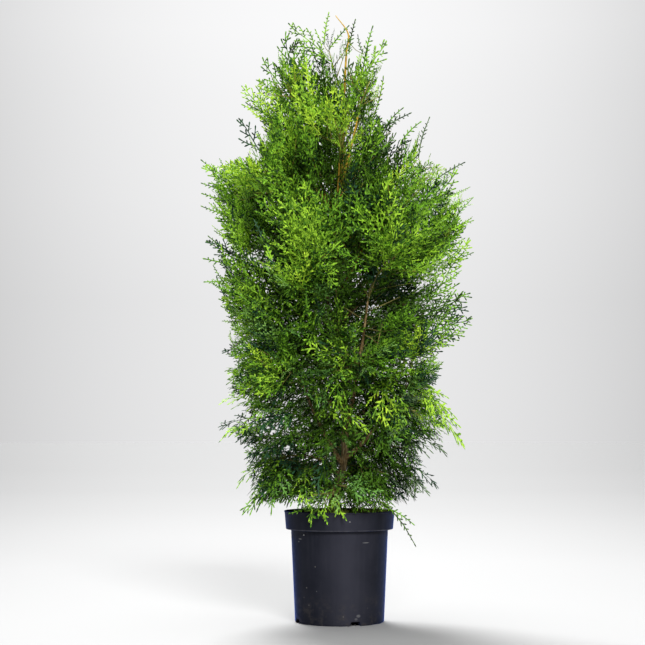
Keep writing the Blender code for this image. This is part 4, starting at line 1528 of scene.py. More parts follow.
# Fronds straight from the boughs and from the filling twigs, and from stretches of the trunk: their
# lengths, and for the trunk the heights, the points along it and the tries as well.
BOUGH_TRIES = 600
BOUGH_SPRAYS = (0.070, 0.130)
FILLING_SPRAYS = (0.080, 0.150)
TRUNK_STRETCHES = (
    (0.95, TRUNK_HEIGHTS[-1], 12, 60, (0.050, 0.100)),
    (0.29, 0.80, 14, 260, (0.080, 0.140)),
    (0.262, 0.34, 5, 200, (0.055, 0.120)),
)

# Where the trunk and the boughs show between the fronds: heights, and shares of a bough's length.
TRUNK_WINDOWS = (
    (0.252, 0.285, 0.007), (0.330, 0.385, 0.007), (0.90, 0.93, 0.006), (1.00, 1.03, 0.007),
    (1.165, 1.33, 0.011),
)
BOUGH_WINDOWS = (
    ("left_leader", 0.36, 0.56, 0.006),
    ("left_leader", 0.78, 0.94, 0.006),
    ("right_leader", 0.50, 0.72, 0.007),
    ("middle_leader", 0.60, 1.0, 0.008),
    ("right_shoulder", 0.55, 1.0, 0.007),
)
TWIG_WINDOW_ROOM = 0.0045
WINDOW_DEPTH = 0.004

# Bare twigs that show in the photo, in metres, each from its foot to its tip.
NAMED_TWIGS = (
    ((0.060, -0.095, 0.690), (0.064, -0.100, 0.715), (0.077, -0.104, 0.739)),
    ((0.061, -0.097, 0.700), (0.030, -0.108, 0.745), (0.003, -0.112, 0.754)),
    ((0.060, -0.096, 0.667), (0.095, -0.108, 0.682), (0.128, -0.114, 0.697)),
    ((0.053, -0.092, 0.648), (0.030, -0.104, 0.662), (0.009, -0.112, 0.675)),
    ((0.052, -0.088, 0.632), (0.088, -0.106, 0.624), (0.112, -0.112, 0.626)),
    ((0.050, -0.086, 0.618), (0.064, -0.098, 0.612), (0.080, -0.104, 0.598)),
    ((-0.007, -0.008, 0.915), (0.010, -0.070, 0.960), (0.026, -0.090, 1.000)),
    ((-0.022, -0.070, 0.905), (-0.036, -0.085, 0.914), (-0.052, -0.095, 0.930)),
    ((-0.026, -0.080, 0.862), (-0.012, -0.095, 0.868), (0.003, -0.100, 0.870)),
    ((0.040, -0.036, 1.099), (0.042, -0.038, 1.130), (0.047, -0.036, 1.166)),
    ((0.090, -0.070, 0.439), (0.067, -0.104, 0.540), (0.090, -0.112, 0.640)),
)


# Where a frond is looked at, to see if it fits and what it covers: shares of its length, and of its
# half width to either side.
FIT_PLACES = (np.array((0.3, 0.55, 0.8, 1.0)), (-0.9, 0.0, 0.9))
COVER_PLACES = (np.linspace(0.2, 1.0, 5), np.linspace(-0.8, 0.8, 5))


def frond_samples(frond, shares, sides):
    """Points spread over a frond as it is bent."""
    across = half_width(shares, frond.length)
    local = [(s * frond.length, side * w, 0.0) for s, w in zip(shares, across) for side in sides]
    return bent_points(frond, np.array(local))


def fine_heading(direction, root, hanging, dice):
    """Where a finer spray points and faces: steeply up in the crown, out and over low down."""
    azimuth = azimuth_of(root) + dice.gauss(0, HEADING_TURN)
    rise = math.radians(float(np.interp(root.z, HABIT_HEIGHTS, FINE_RISE)))
    outward = level(azimuth)
    habit = outward * math.cos(rise) + UP * math.sin(rise)
    heading = HEADING_ALONG * direction + HEADING_HABIT * habit
    heading = (heading + shaken(dice, HEADING_NOISE)).normalized()
    if hanging:
        return heading, UP + HANGING_OUT * outward
    return heading, outward if abs(heading.dot(outward)) < NEARLY_OUT else UP


def fine_twigs(carriers, dice):
    """Finer twigs on a mass's stem and twigs, each as its foot and its tip."""
    made = []
    for i in range(FINE_TWIG_TRIES):
        carrier = carriers[i % len(carriers)]
        root, direction = along(carrier, dice.uniform(*FINE_PLACES))
        azimuth = azimuth_of(root) + dice.gauss(0, FINE_TURN)
        lean = direction + habit_direction(root.z, azimuth) * FINE_HABIT
        lean += shaken(dice, FINE_NOISE)
        tip = root + lean.normalized() * dice.uniform(*FINE_LENGTHS)
        points = rows_of(root.lerp(tip, share) for share in (0.5, 1.0))
        if len(made) < FINE_TWIGS and off_pot(points) and inside_skin(points, TWIG_INSET).all():
            made.append([root, tip])
    return made


def filling_twigs(plans, dice):
    """Twigs that grow from the trunk and the boughs into the room between the masses."""
    limbs = [points for _, points, _ in plans]
    made = []
    for i in range(FILLING_TWIGS):
        if i % 2:
            root, direction = along(limbs[(i // 2) % len(limbs)], dice.uniform(*FINE_PLACES))
            azimuth = azimuth_of(root) + dice.gauss(0, FILLING_TURN)
        else:
            root, direction = trunk_point(dice.uniform(*FILLING_HEIGHTS)), UP
            azimuth = i * GOLDEN_ANGLE
        lean = FILLING_ALONG * direction + habit_direction(root.z, azimuth)
        lean += shaken(dice, FILLING_NOISE)
        room = FILLING_ROOM * float(skin_reach(root.z, azimuth)) - math.hypot(root.x, root.y)
        if room < FILLING_LEAST:
            continue
        tip = root + lean.normalized() * room * dice.uniform(*FILLING_LENGTHS)
        middle = root.lerp(tip, 0.5) + UP * dice.uniform(*FILLING_BOWS)
        points = rows_of(root.lerp(tip, share) for share in (0.7, 1.0))
        if off_pot(points) and inside_skin(points, TWIG_INSET).all():
            made.append([root, middle, tip])
    return made


def window_lines(plans):
    """The stretches of trunk and boughs that show from the front, as points seen from there."""
    routes = {name: points for name, points, _ in plans}
    lines = []
    for low, high, room in TRUNK_WINDOWS:
        lines.append(([trunk_point(h) for h in np.linspace(low, high, 12)], room))
    for name, low, high, room in BOUGH_WINDOWS:
        lines.append(([along(routes[name], share)[0] for share in np.linspace(low, high, 12)], room))
    for twig in NAMED_TWIGS:
        route = [Vector(point) for point in twig]
        lines.append(([along(route, share)[0] for share in np.linspace(0, 1, 10)], TWIG_WINDOW_ROOM))
    return np.array([(*point, room) for line, room in lines for point in line])


def covers(points, windows):
    """True if any point lies in front of a window."""
    across = np.hypot(points[:, None, 0] - windows[None, :, 0], points[:, None, 2] - windows[None, :, 2])
    before = points[:, None, 1] < windows[None, :, 1] + WINDOW_DEPTH
    return bool(((across < windows[None, :, 3]) & before).any())


def fine_candidates(carriers, tries, dice, windows, lengths=FINE_SPRAYS):
    """Fronds that would fit in the crown on these carriers."""
    found = []
    for i in range(tries):
        carrier = carriers[i % len(carriers)]
        at_tip = dice.random() < TIP_CHANCE
        root, direction = along(carrier, 1.0 if at_tip else dice.uniform(*ALONG_CARRIER))
        hanging = root.z + dice.gauss(0, KIND_NOISE) < HANGING_BELOW
        heading, facing = fine_heading(direction, root, hanging, dice)
        longest = dice.uniform(*lengths)
        roll = dice.gauss(0, SPRAY_ROLL) if hanging else dice.uniform(0, 2 * math.pi)
        matrix = spray_matrix(root, heading, facing, roll)
        for shrink in FINE_SHRINKS:
            frond = Frond(matrix, longest * shrink, dice, "hanging" if hanging else "upright")
            points = frond_samples(frond, *FIT_PLACES)
            inside = off_pot(points) and inside_skin(points, -FROND_ROOM).all()
            if inside and not covers(points, windows):
                found.append(frond)
                break
    return found


# How much a frond across another is apart from it, and what a frond's length adds to its worth.
CROSSING_ROOM = 0.018
LENGTH_WORTH = (0.5, 0.15)


def choose_fronds(candidates, kept, count):
    """The candidates that lie farthest from the fronds already there, one after another."""
    centres = rows_of(frond.centre for frond in candidates)
    headings = rows_of(frond.matrix.col[0][:3] for frond in candidates)
    lengths = np.array([frond.length for frond in candidates])
    apart = np.full(len(candidates), 1.0)
    airy = room_shares(centres)

    def crowd(place, heading):
        gaps = np.linalg.norm(centres - place, axis=1)
        same = np.abs(headings @ heading)
        return (gaps + CROSSING_ROOM * (1 - same)) * airy

    for frond in kept:
        apart = np.minimum(apart, crowd(np.array(frond.centre), np.array(frond.matrix.col[0][:3])))
    chosen = []
    for _ in range(min(count, len(candidates))):
        best = int(np.argmax(apart * (LENGTH_WORTH[0] + lengths / LENGTH_WORTH[1])))
        if apart[best] <= 0:
            break
        chosen.append(candidates[best])
        apart = np.minimum(apart, crowd(centres[best], headings[best]))
        apart[best] = -1.0
    return chosen


# The views round the crown from which its cover is evened out, and the cells that are counted.
COVER_VIEWS = 8
COVER_CELL = 0.016
COVER_REACH = 0.34
COVER_COLUMNS = int(2 * COVER_REACH / COVER_CELL) + 1
COVER_ROWS = int(MODEL_HIGH[2] / COVER_CELL) + 1
COVER_COUNT = 1050
COVER_TRIED = 800
WHOLE_DEPTH = 6.0
FRONT_DEPTH = 2.5
FRONT_SHARE = 0.40
FRONT_WORTH = 2.0


def view_cells(points):
    """In each view round the crown, each point's cell, and whether it's in the crown's front."""
    x, y, z = np.moveaxis(points, -1, 0)
    reach = skin_reach(z, np.arctan2(y, x))
    row = np.clip(z / COVER_CELL, 0, COVER_ROWS - 1).astype(int)
    cells, fronts = [], []
    for view in range(COVER_VIEWS):
        azimuth = view * 2 * math.pi / COVER_VIEWS
        towards = x * math.cos(azimuth) + y * math.sin(azimuth)
        aside = y * math.cos(azimuth) - x * math.sin(azimuth)
        column = np.clip((aside + COVER_REACH) / COVER_CELL, 0, COVER_COLUMNS - 1).astype(int)
        cells.append((view * COVER_ROWS + row) * COVER_COLUMNS + column)
        fronts.append(towards > FRONT_SHARE * np.sqrt(np.maximum(reach**2 - aside**2, 1e-4)))
    return np.stack(cells, axis=1), np.stack(fronts, axis=1)


def room_shares(points):
    """How dense the crown is at each point: thinner towards the tip and at the upper right."""
    shares = np.interp(points[..., 2], AIRY_HEIGHTS, AIRY_SHARES)
    for low, high, share in OPEN_PLACES:
        within = (points > low).all(axis=-1) & (points < high).all(axis=-1)
        shares = np.where(within, shares * share, shares)
    return shares


def even_cover(candidates, kept, count, dice):
    """The candidates that best cover what is still bare, seen from all round, one after another."""
    bare = np.ones(COVER_VIEWS * COVER_ROWS * COVER_COLUMNS)
    bare_front = bare.copy()

    def lay(cells, fronts):
        np.multiply.at(bare, cells.ravel(), math.exp(-1 / WHOLE_DEPTH))
        np.multiply.at(bare_front, cells[fronts], math.exp(-1 / FRONT_DEPTH))

    def samples(fronds):
        return np.array([frond_samples(frond, *COVER_PLACES) for frond in fronds])

    lay(*view_cells(samples(kept)))
    points = samples(candidates)
    cells, fronts = view_cells(points)
    dense = room_shares(points)[:, None, :] ** 2
    left = list(range(len(candidates)))
    chosen = []
    while left and len(chosen) < count:
        tried = dice.sample(range(len(left)), min(COVER_TRIED, len(left)))
        numbers = np.array([left[i] for i in tried])
        gains = bare[cells[numbers]] + FRONT_WORTH * fronts[numbers] * bare_front[cells[numbers]]
        best = int(np.argmax((dense[numbers] * gains).sum(axis=(1, 2))))
        number = left.pop(tried[best])
        lay(cells[number], fronts[number])
        chosen.append(candidates[number])
    return chosen


# Sprays that stand out in the photo, in metres: kind, tint, root, tip, and how far each arches.
# Their tints paint light and shade, as for the other fronds.
NAMED_SPRAYS = (
    ("upright", "fresh", (-0.023, -0.010, 1.230), (-0.091, -0.020, 1.322), 0.8),
    ("shoot", "fresh", (-0.034, -0.012, 1.265), (-0.030, -0.015, 1.330), 0.0),
    ("upright", "mid", (-0.020, 0.000, 1.225), (-0.085, 0.010, 1.278), 0.4),
    ("shoot", "fresh", (-0.023, -0.010, 1.255), (0.013, -0.020, 1.304), 0.0),
    ("shoot", "mid", (0.052, -0.005, 1.205), (0.064, -0.010, 1.306), 0.0),
    ("shoot", "deep", (0.054, -0.005, 1.245), (0.034, -0.010, 1.280), 0.0),
    ("upright", "fresh", (0.050, -0.010, 1.195), (0.102, 0.000, 1.277), 0.0),
    ("shoot", "deep", (0.022, 0.005, 1.250), (0.026, 0.005, 1.320), 0.0),
    ("upright", "mid", (-0.090, -0.010, 1.140), (-0.133, -0.020, 1.287), 0.0),
    ("upright", "deep", (-0.092, -0.020, 1.130), (-0.111, -0.025, 1.274), 0.0),
    ("upright", "fresh", (-0.085, -0.005, 1.120), (-0.087, 0.000, 1.251), 0.0),
    ("upright", "mid", (-0.100, 0.000, 1.125), (-0.144, 0.010, 1.251), 0.0),
    ("upright", "fresh", (-0.115, -0.010, 1.110), (-0.172, -0.020, 1.187), 0.6),
    ("upright", "lime", (-0.130, -0.020, 1.050), (-0.188, -0.030, 1.178), 0.0),
    ("upright", "bright", (-0.145, -0.020, 1.090), (-0.226, -0.030, 1.156), 0.8),
    ("upright", "teal", (-0.170, -0.010, 1.020), (-0.223, -0.010, 1.097), 0.0),
    ("shoot", "dusky", (0.090, -0.010, 1.075), (0.148, -0.010, 1.115), 0.0),
    ("shoot", "mid", (0.100, 0.000, 1.080), (0.128, 0.000, 1.130), 0.0),
    ("shoot", "mid", (0.135, -0.010, 1.045), (0.164, -0.010, 1.097), 0.0),
    ("shoot", "dusky", (0.175, 0.000, 1.015), (0.183, 0.000, 1.103), 0.0),
    ("shoot", "dusky", (0.215, 0.000, 0.968), (0.268, 0.000, 1.006), 0.0),
    ("shoot", "mid", (0.245, 0.000, 0.860), (0.282, 0.000, 0.936), 0.0),
    ("upright", "fresh", (0.200, -0.010, 0.905), (0.255, -0.020, 0.985), 0.0),
    ("shoot", "fresh", (0.236, 0.010, 0.850), (0.293, 0.010, 0.881), 0.0),
    ("shoot", "mid", (0.236, 0.000, 0.775), (0.296, 0.000, 0.810), 0.3),
    ("upright", "fresh", (0.190, -0.020, 0.690), (0.286, -0.030, 0.775), 0.6),
    ("upright", "mid", (0.180, -0.010, 0.620), (0.285, -0.010, 0.665), 1.2),
    ("upright", "bright", (0.190, -0.030, 0.750), (0.278, -0.050, 0.830), 0.6),
    ("upright", "mid", (0.190, -0.010, 0.665), (0.272, -0.020, 0.728), 0.4),
    ("upright", "teal", (0.180, 0.015, 0.640), (0.268, 0.015, 0.702), 0.4),
    ("upright", "fresh", (0.170, -0.040, 0.590), (0.258, -0.050, 0.640), 0.6),
    ("upright", "fresh", (0.000, -0.080, 0.610), (-0.008, -0.128, 0.690), 0.0),
    ("upright", "mid", (0.024, -0.045, 0.920), (0.030, -0.090, 1.020), 0.0),
    ("upright", "fresh", (0.012, -0.040, 0.935), (0.014, -0.085, 0.992), 0.0),
    ("upright", "fresh", (0.045, -0.040, 0.995), (0.062, -0.080, 1.095), 0.0),
    ("upright", "mid", (0.060, -0.030, 0.985), (0.095, -0.060, 1.075), 0.0),
    ("upright", "mid", (-0.005, -0.040, 0.985), (-0.028, -0.080, 1.085), 0.0),
    ("upright", "fresh", (0.022, -0.055, 0.975), (0.030, -0.095, 1.045), 0.0),
    ("hanging", "fresh", (-0.030, -0.085, 0.555), (-0.052, -0.150, 0.487), 2.0),
    ("hanging", "mid", (0.000, -0.085, 0.545), (0.000, -0.150, 0.480), 2.0),
    ("upright", "mid", (-0.050, -0.095, 0.465), (-0.078, -0.150, 0.545), 1.0),
    ("hanging", "mid", (0.020, -0.090, 0.560), (0.040, -0.150, 0.495), 2.0),
    ("upright", "mid", (0.004, -0.075, 0.650), (0.008, -0.125, 0.735), 0.0),
    ("upright", "fresh", (-0.230, -0.010, 0.940), (-0.306, -0.010, 0.996), 0.8),
    ("shoot", "mid", (-0.232, 0.000, 0.938), (-0.306, 0.000, 0.948), 0.8),
    ("shoot", "fresh", (-0.222, -0.010, 0.912), (-0.298, -0.010, 0.922), 1.0),
    ("shoot", "fresh", (-0.225, 0.000, 0.880), (-0.304, 0.000, 0.896), 1.0),
    ("upright", "teal", (-0.220, -0.010, 0.790), (-0.291, -0.010, 0.828), 0.6),
    ("shoot", "mid", (-0.215, 0.000, 0.775), (-0.292, 0.000, 0.782), 0.8),
    ("shoot", "mid", (-0.215, -0.010, 0.745), (-0.289, -0.010, 0.730), 1.0),
    ("upright", "teal", (-0.180, 0.010, 0.590), (-0.256, 0.010, 0.585), 1.5),
    ("hanging", "bright", (0.150, -0.080, 0.520), (0.268, -0.090, 0.398), 2.6),
    ("hanging", "fresh", (0.130, -0.060, 0.535), (0.235, -0.080, 0.450), 2.6),
    ("hanging", "fresh", (0.110, -0.110, 0.525), (0.122, -0.165, 0.400), 2.0),
    ("hanging", "lime", (0.090, -0.120, 0.520), (0.095, -0.175, 0.425), 2.0),
    ("hanging", "fresh", (0.120, -0.110, 0.510), (0.063, -0.150, 0.500), 3.0),
    ("hanging", "bright", (-0.043, -0.120, 0.455), (0.060, -0.150, 0.418), 4.0),
    ("hanging", "fresh", (-0.010, -0.110, 0.462), (-0.045, -0.160, 0.440), 4.0),
    ("hanging", "mid", (-0.115, -0.050, 0.325), (-0.208, -0.060, 0.241), 2.4),
    ("hanging", "fresh", (-0.120, -0.040, 0.350), (-0.216, -0.040, 0.305), 3.0),
    ("hanging", "teal", (-0.160, 0.000, 0.442), (-0.265, 0.010, 0.416), 3.0),
    ("hanging", "bright", (-0.150, -0.060, 0.430), (-0.246, -0.060, 0.409), 3.0),
    ("hanging", "bright", (-0.160, -0.030, 0.470), (-0.252, -0.030, 0.479), 3.0),
    ("hanging", "bright", (-0.075, -0.090, 0.330), (-0.066, -0.150, 0.258), 4.0),
    ("hanging", "bright", (-0.015, -0.055, 0.275), (-0.062, -0.132, 0.228), 4.5),
    ("hanging", "bright", (-0.010, -0.055, 0.275), (0.002, -0.134, 0.240), 4.5),
    ("hanging", "fresh", (-0.020, -0.055, 0.272), (-0.034, -0.135, 0.232), 4.5),
    ("shoot", "deep", (0.090, -0.050, 0.258), (0.166, -0.060, 0.188), 2.2),
    ("shoot", "mid", (0.095, -0.055, 0.250), (0.155, -0.062, 0.222), 2.0),
    ("shoot", "mid", (-0.060, -0.070, 0.252), (-0.100, -0.098, 0.228), 3.0),
    ("hanging", "fresh", (0.030, -0.040, 0.290), (0.095, -0.090, 0.258), 2.0),
    ("hanging", "mid", (0.020, -0.040, 0.300), (0.050, -0.110, 0.262), 2.0),
    ("hanging", "mid", (-0.040, -0.040, 0.300), (-0.105, -0.080, 0.262), 2.0),
    ("hanging", "mid", (0.015, -0.060, 0.285), (0.052, -0.118, 0.246), 3.0),
    ("hanging", "deep", (0.050, -0.040, 0.285), (0.028, -0.112, 0.250), 3.0),
    ("hanging", "fresh", (0.060, -0.045, 0.280), (0.088, -0.098, 0.246), 3.0),
    ("hanging", "deep", (0.070, -0.030, 0.285), (0.106, -0.060, 0.250), 3.0),
    ("hanging", "mid", (0.002, -0.040, 0.330), (0.006, -0.100, 0.276), 3.0),
    ("hanging", "mid", (-0.035, -0.070, 0.425), (-0.038, -0.125, 0.352), 2.0),
    ("hanging", "mid", (0.020, 0.000, 0.300), (0.074, -0.010, 0.247), 3.0),
    ("hanging", "mid", (0.030, 0.010, 0.300), (0.024, -0.060, 0.247), 3.0),
    ("hanging", "deep", (0.060, 0.010, 0.290), (0.106, 0.020, 0.249), 3.0),
    ("hanging", "mid", (-0.010, 0.030, 0.300), (0.050, 0.050, 0.247), 3.0),
    ("hanging", "deep", (0.010, 0.000, 0.295), (0.010, -0.070, 0.247), 3.0),
    ("upright", "mid", (0.150, 0.000, 0.600), (0.262, 0.010, 0.668), 0.4),
    ("upright", "deep", (0.160, -0.020, 0.650), (0.268, -0.020, 0.700), 0.4),
    ("upright", "teal", (0.165, -0.010, 0.580), (0.248, -0.020, 0.615), 0.4),
    ("shoot", "fresh", (-0.225, -0.020, 0.955), (-0.306, -0.020, 0.994), 0.4),
    ("shoot", "deep", (-0.215, -0.010, 0.790), (-0.290, -0.010, 0.828), 0.2),
    ("shoot", "deep", (-0.218, 0.010, 0.795), (-0.291, 0.010, 0.816), 0.2),
    ("hanging", "dusky", (0.100, -0.050, 0.400), (0.225, -0.060, 0.380), 3.0),
    ("hanging", "teal", (0.110, -0.030, 0.350), (0.212, -0.040, 0.300), 3.0),
    ("hanging", "dusky", (0.080, -0.050, 0.320), (0.190, -0.060, 0.275), 3.0),
)
NAMED_TWIG_LEAST = 0.006
NAMED_TWIG_RADII = (0.0014, 0.0009)
NAMED_TWIG_SAG = 0.1
NAMED_ROLL = 0.2

# How much of the usual curl, twist and drape they keep, and which way they face.
NAMED_BENDS = {"curl": 0.3, "twist": 0.4, "drape": 0.6}
FRONT = Vector((0, -1, 0))
HANGING_FACING = UP + Vector((0, -1.1, 0))

# The fronds stand farther apart towards the tip: a share of their room, by height.
AIRY_HEIGHTS = (0.30, 0.95, 1.08, 1.14, 1.20, 1.30)
AIRY_SHARES = (1.0, 1.0, 0.80, 0.56, 0.46, 0.30)

# The airy parts at the upper right and the lower right: their corners, and how dense they are.
OPEN_PLACES = (
    ((0.095, -0.3, 0.88), (0.23, 0.3, 1.06), 0.55),
    ((0.100, -0.3, 0.24), (0.26, 0.3, 0.41), 0.70),
)


def named_fronds(carriers, dice):
    """The sprays that stand out, each on a twig of its own from the nearest wood."""
    spots = [along(carrier, float(share))[0] for carrier in carriers for share in np.linspace(0, 1, 7)]
    places = rows_of(spots)
    fronds, twigs = [], []
    for kind, tint, root, tip, arch in NAMED_SPRAYS:
        root, tip = Vector(root), Vector(tip)
        gaps = np.linalg.norm(places - np.array(root), axis=1)
        foot = spots[int(np.argmin(gaps))]
        if gaps.min() > NAMED_TWIG_LEAST:
            twigs.append([foot, foot.lerp(root, 0.5) - UP * NAMED_TWIG_SAG * gaps.min(), root])
        span = tip - root
        lift = arch * span.length_squared
        lean = span + UP * lift
        length, heading = lean.length, lean.normalized()
        facing = HANGING_FACING if kind == "hanging" else FRONT
        roll = dice.gauss(0, NAMED_ROLL)
        frond = Frond(spray_matrix(root, heading, facing, roll), length, dice, kind, tint)
        frond.droop, frond.free = lift / length**2, True
        for bend, share in NAMED_BENDS.items():
            setattr(frond, bend, getattr(frond, bend) * share)
        fronds.append(frond)
    return fronds, twigs


# Thin shoots on the outer fronds: how many carry one, from which height and how far out, where it
# starts and which way it leans.
SHOOT_SHARE = 0.34
SHOOT_LOWEST = 0.60
SHOOT_OUTERMOST = 0.80
SHOOT_START = 0.80
SHOOT_TIP = 0.9
SHOOT_HABIT = 0.5
SHOOT_TURN = 0.26
SHOOT_ROLL = 0.5


def outer_shoots(fronds, dice):
    """Thin shoots that grow on from the outer fronds and make the outline spiky."""
    made = []
    for frond in fronds:
        tip = frond.axis_point(SHOOT_TIP)
        reach = float(skin_reach(tip.z, azimuth_of(tip)))
        if math.hypot(tip.x, tip.y) < SHOOT_OUTERMOST * reach or dice.random() > SHOOT_SHARE:
            continue
        if tip.z < SHOOT_LOWEST:
            continue
        root = frond.axis_point(SHOOT_START)
        habit = habit_direction(root.z, azimuth_of(root))
        lean = (tip - root).normalized() + SHOOT_HABIT * habit
        lean += shaken(dice, SHOOT_TURN)
        sideways = UP.cross(Vector((tip.x, tip.y, 0.0)).normalized())
        matrix = spray_matrix(root, lean.normalized(), sideways, dice.gauss(0, SHOOT_ROLL))
        length = dice.uniform(SHOOT_LENGTHS[0], SHOOT_LENGTHS[-1])
        made.append(Frond(matrix, length, dice, "shoot", frond))
    return made


# Each tint's darkest and lightest green. Lime, bright, fresh, mid and deep are lit and shaded copies of
# one green: painted light and shade.
TINTS = {
    "lime": ((0.100, 0.240, 0.012), (0.530, 0.780, 0.050)),
    "bright": ((0.044, 0.145, 0.010), (0.420, 0.710, 0.045)),
    "fresh": ((0.020, 0.084, 0.008), (0.315, 0.600, 0.036)),
    "mid": ((0.008, 0.038, 0.007), (0.205, 0.460, 0.028)),
    "deep": ((0.002, 0.009, 0.002), (0.075, 0.180, 0.012)),
    "cool": ((0.020, 0.080, 0.018), (0.300, 0.560, 0.120)),
    "cool_mid": ((0.009, 0.038, 0.011), (0.170, 0.390, 0.070)),
    "dusky": ((0.016, 0.036, 0.018), (0.140, 0.215, 0.105)),
    "teal": ((0.002, 0.011, 0.006), (0.024, 0.088, 0.038)),
}

# Painted light and shade: how much light each tint needs, from the brightest down; whatever has less is
# deep.
TINT_STEPS = (("lime", 1.16), ("bright", 0.92), ("fresh", 0.68), ("mid", 0.44))
OUTER_LIGHT = 2.5
INNER_SHADE = 1.275
PATCH_LIGHT = 0.12
PATCH_SCALE = 7.0
LIGHT_NOISE = 0.28
HEIGHT_LIGHT = 0.28
HEIGHT_MIDDLE = 0.7
HEIGHT_SPAN = 0.5

# Painted light and shade on the front: bands that are lighter or darker, with their middle height, their
# spread and by how much.
FRONT_PAINTED_LIGHT = ((0.87, 0.12, -0.26), (0.58, 0.14, 0.12), (1.05, 0.10, 0.22))

# Low down, some fronds are of a cooler green, and some are teal or dusky: where, and how many. Teal, at
# the sides as well, is painted bluish shade.
COOL_TINTS = {"bright": "cool", "fresh": "cool", "mid": "cool_mid"}
COOL_SHARE = 0.55
COOL_HEIGHTS = (0.75, 0.35)
LOW_HEIGHTS = (0.62, 0.35)
ASIDE_REACH = 0.16
LOW_RIGHT = 0.10
TEAL_SHARES = (0.03, 0.05, 0.18, 0.12)
DUSKY_SHARE = 0.30
LEAST_REACH = 0.05


def below(height, top, span):
    """0 above a height, rising to 1 at a span under it."""
    return min(max((top - height) / span, 0.0), 1.0)


def tint_of(frond, dice):
    """A frond's tint, painted light and shade: brighter out at the crown's skin, higher up and in bands
    on the front, darker inside; bluer and duller low down and to the right.
    """
    if isinstance(frond.tint, Frond):
        frond.tint = frond.tint.tint
    if frond.tint:
        return frond.tint
    centre = frond.centre
    azimuth = azimuth_of(centre)
    reach = max(float(skin_reach(centre.z, azimuth)), LEAST_REACH)
    outer = min(math.hypot(centre.x, centre.y) / reach, 1.0)
    low = below(centre.z, *LOW_HEIGHTS)
    low_right = low * (centre.x > LOW_RIGHT)
    aside = min(abs(centre.x) / ASIDE_REACH, 1.0)
    anywhere, at_sides, at_low_sides, at_low_right = TEAL_SHARES
    teal = anywhere + at_sides * aside + at_low_sides * low * aside + at_low_right * low_right
    # Teal is painted bluish shade.
    if dice.random() < teal:
        return "teal"
    if dice.random() < DUSKY_SHARE * low_right:
        return "dusky"
    # Painted light: brighter out at the skin and higher up, deep inside.
    light = OUTER_LIGHT * outer - INNER_SHADE + PATCH_LIGHT * noise.noise(centre * PATCH_SCALE)
    light += dice.uniform(-LIGHT_NOISE, LIGHT_NOISE)
    light += HEIGHT_LIGHT * (centre.z - HEIGHT_MIDDLE) / HEIGHT_SPAN
    front = max(-math.sin(azimuth), 0.0)
    for middle, spread, share in FRONT_PAINTED_LIGHT:
        light += share * front * math.exp(-((centre.z - middle) / spread) ** 2)
    cool = dice.random() < COOL_SHARE * below(centre.z, *COOL_HEIGHTS)
    for tint, least in TINT_STEPS:
        if light > least:
            return COOL_TINTS.get(tint, tint) if cool else tint
    return "deep"


PIECE_TRIANGLES = 190000
FOLIAGE_SEED = 77
LENGTH_NOISE = 0.02


def build_foliage(fronds, templates, materials, nodes):
    """Joins the fronds, each tint apart, into pieces of at most PIECE_TRIANGLES triangles, and hides the
    masses.
    """
    dice = random.Random(FOLIAGE_SEED)
    heaps = {tint: [Heap()] for tint in TINTS}

    def lay(frond):
        tint = frond.tint = tint_of(frond, dice)
        choice = templates[frond.kind]
        sizes = [abs(t[0] - frond.length) + LENGTH_NOISE * dice.random() for t in choice]
        template = choice[int(np.argmin(sizes))]
        points, faces = place_frond(frond, template)
        heap = heaps[tint][-1]
        if sum(len(f) for f in heap.faces) + len(faces) > PIECE_TRIANGLES:
            heap = Heap()
            heaps[tint].append(heap)
        heap.add(points, faces)

    for frond in fronds:
        lay(frond)
    for shoot in outer_shoots([frond for frond in fronds if not frond.free], dice):
        lay(shoot)
    for tint, made in heaps.items():
        for i, heap in enumerate(heap for heap in made if heap.count):
            name = f"foliage_{tint}_{i + 1}"
            piece = add_object(name, heap.mesh(name), materials[tint])
            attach(piece, "root")
    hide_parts(*nodes)


def build_twigs(lines, low_material, high_material):
    """Stems and twigs as thin tubes: brown low down, golden higher up."""
    heaps = {"twigs_low": (Heap(), low_material), "twigs_high": (Heap(), high_material)}
    for route, thick, thin in lines:
        route = [Vector(p) for p in route]
        if len(route) == 2:
            route = [route[0], route[0].lerp(route[1], 0.5), route[1]]
        radii = np.linspace(thick, thin, len(route))
        heap, _ = heaps["twigs_high" if route[0].z > HIGH_BARK else "twigs_low"]
        heap.add(*tube(route, radii, 5))
    for name, (heap, material) in heaps.items():
        piece = add_object(name, heap.mesh(name), material)
        piece.data.shade_smooth()
        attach(piece, "root")


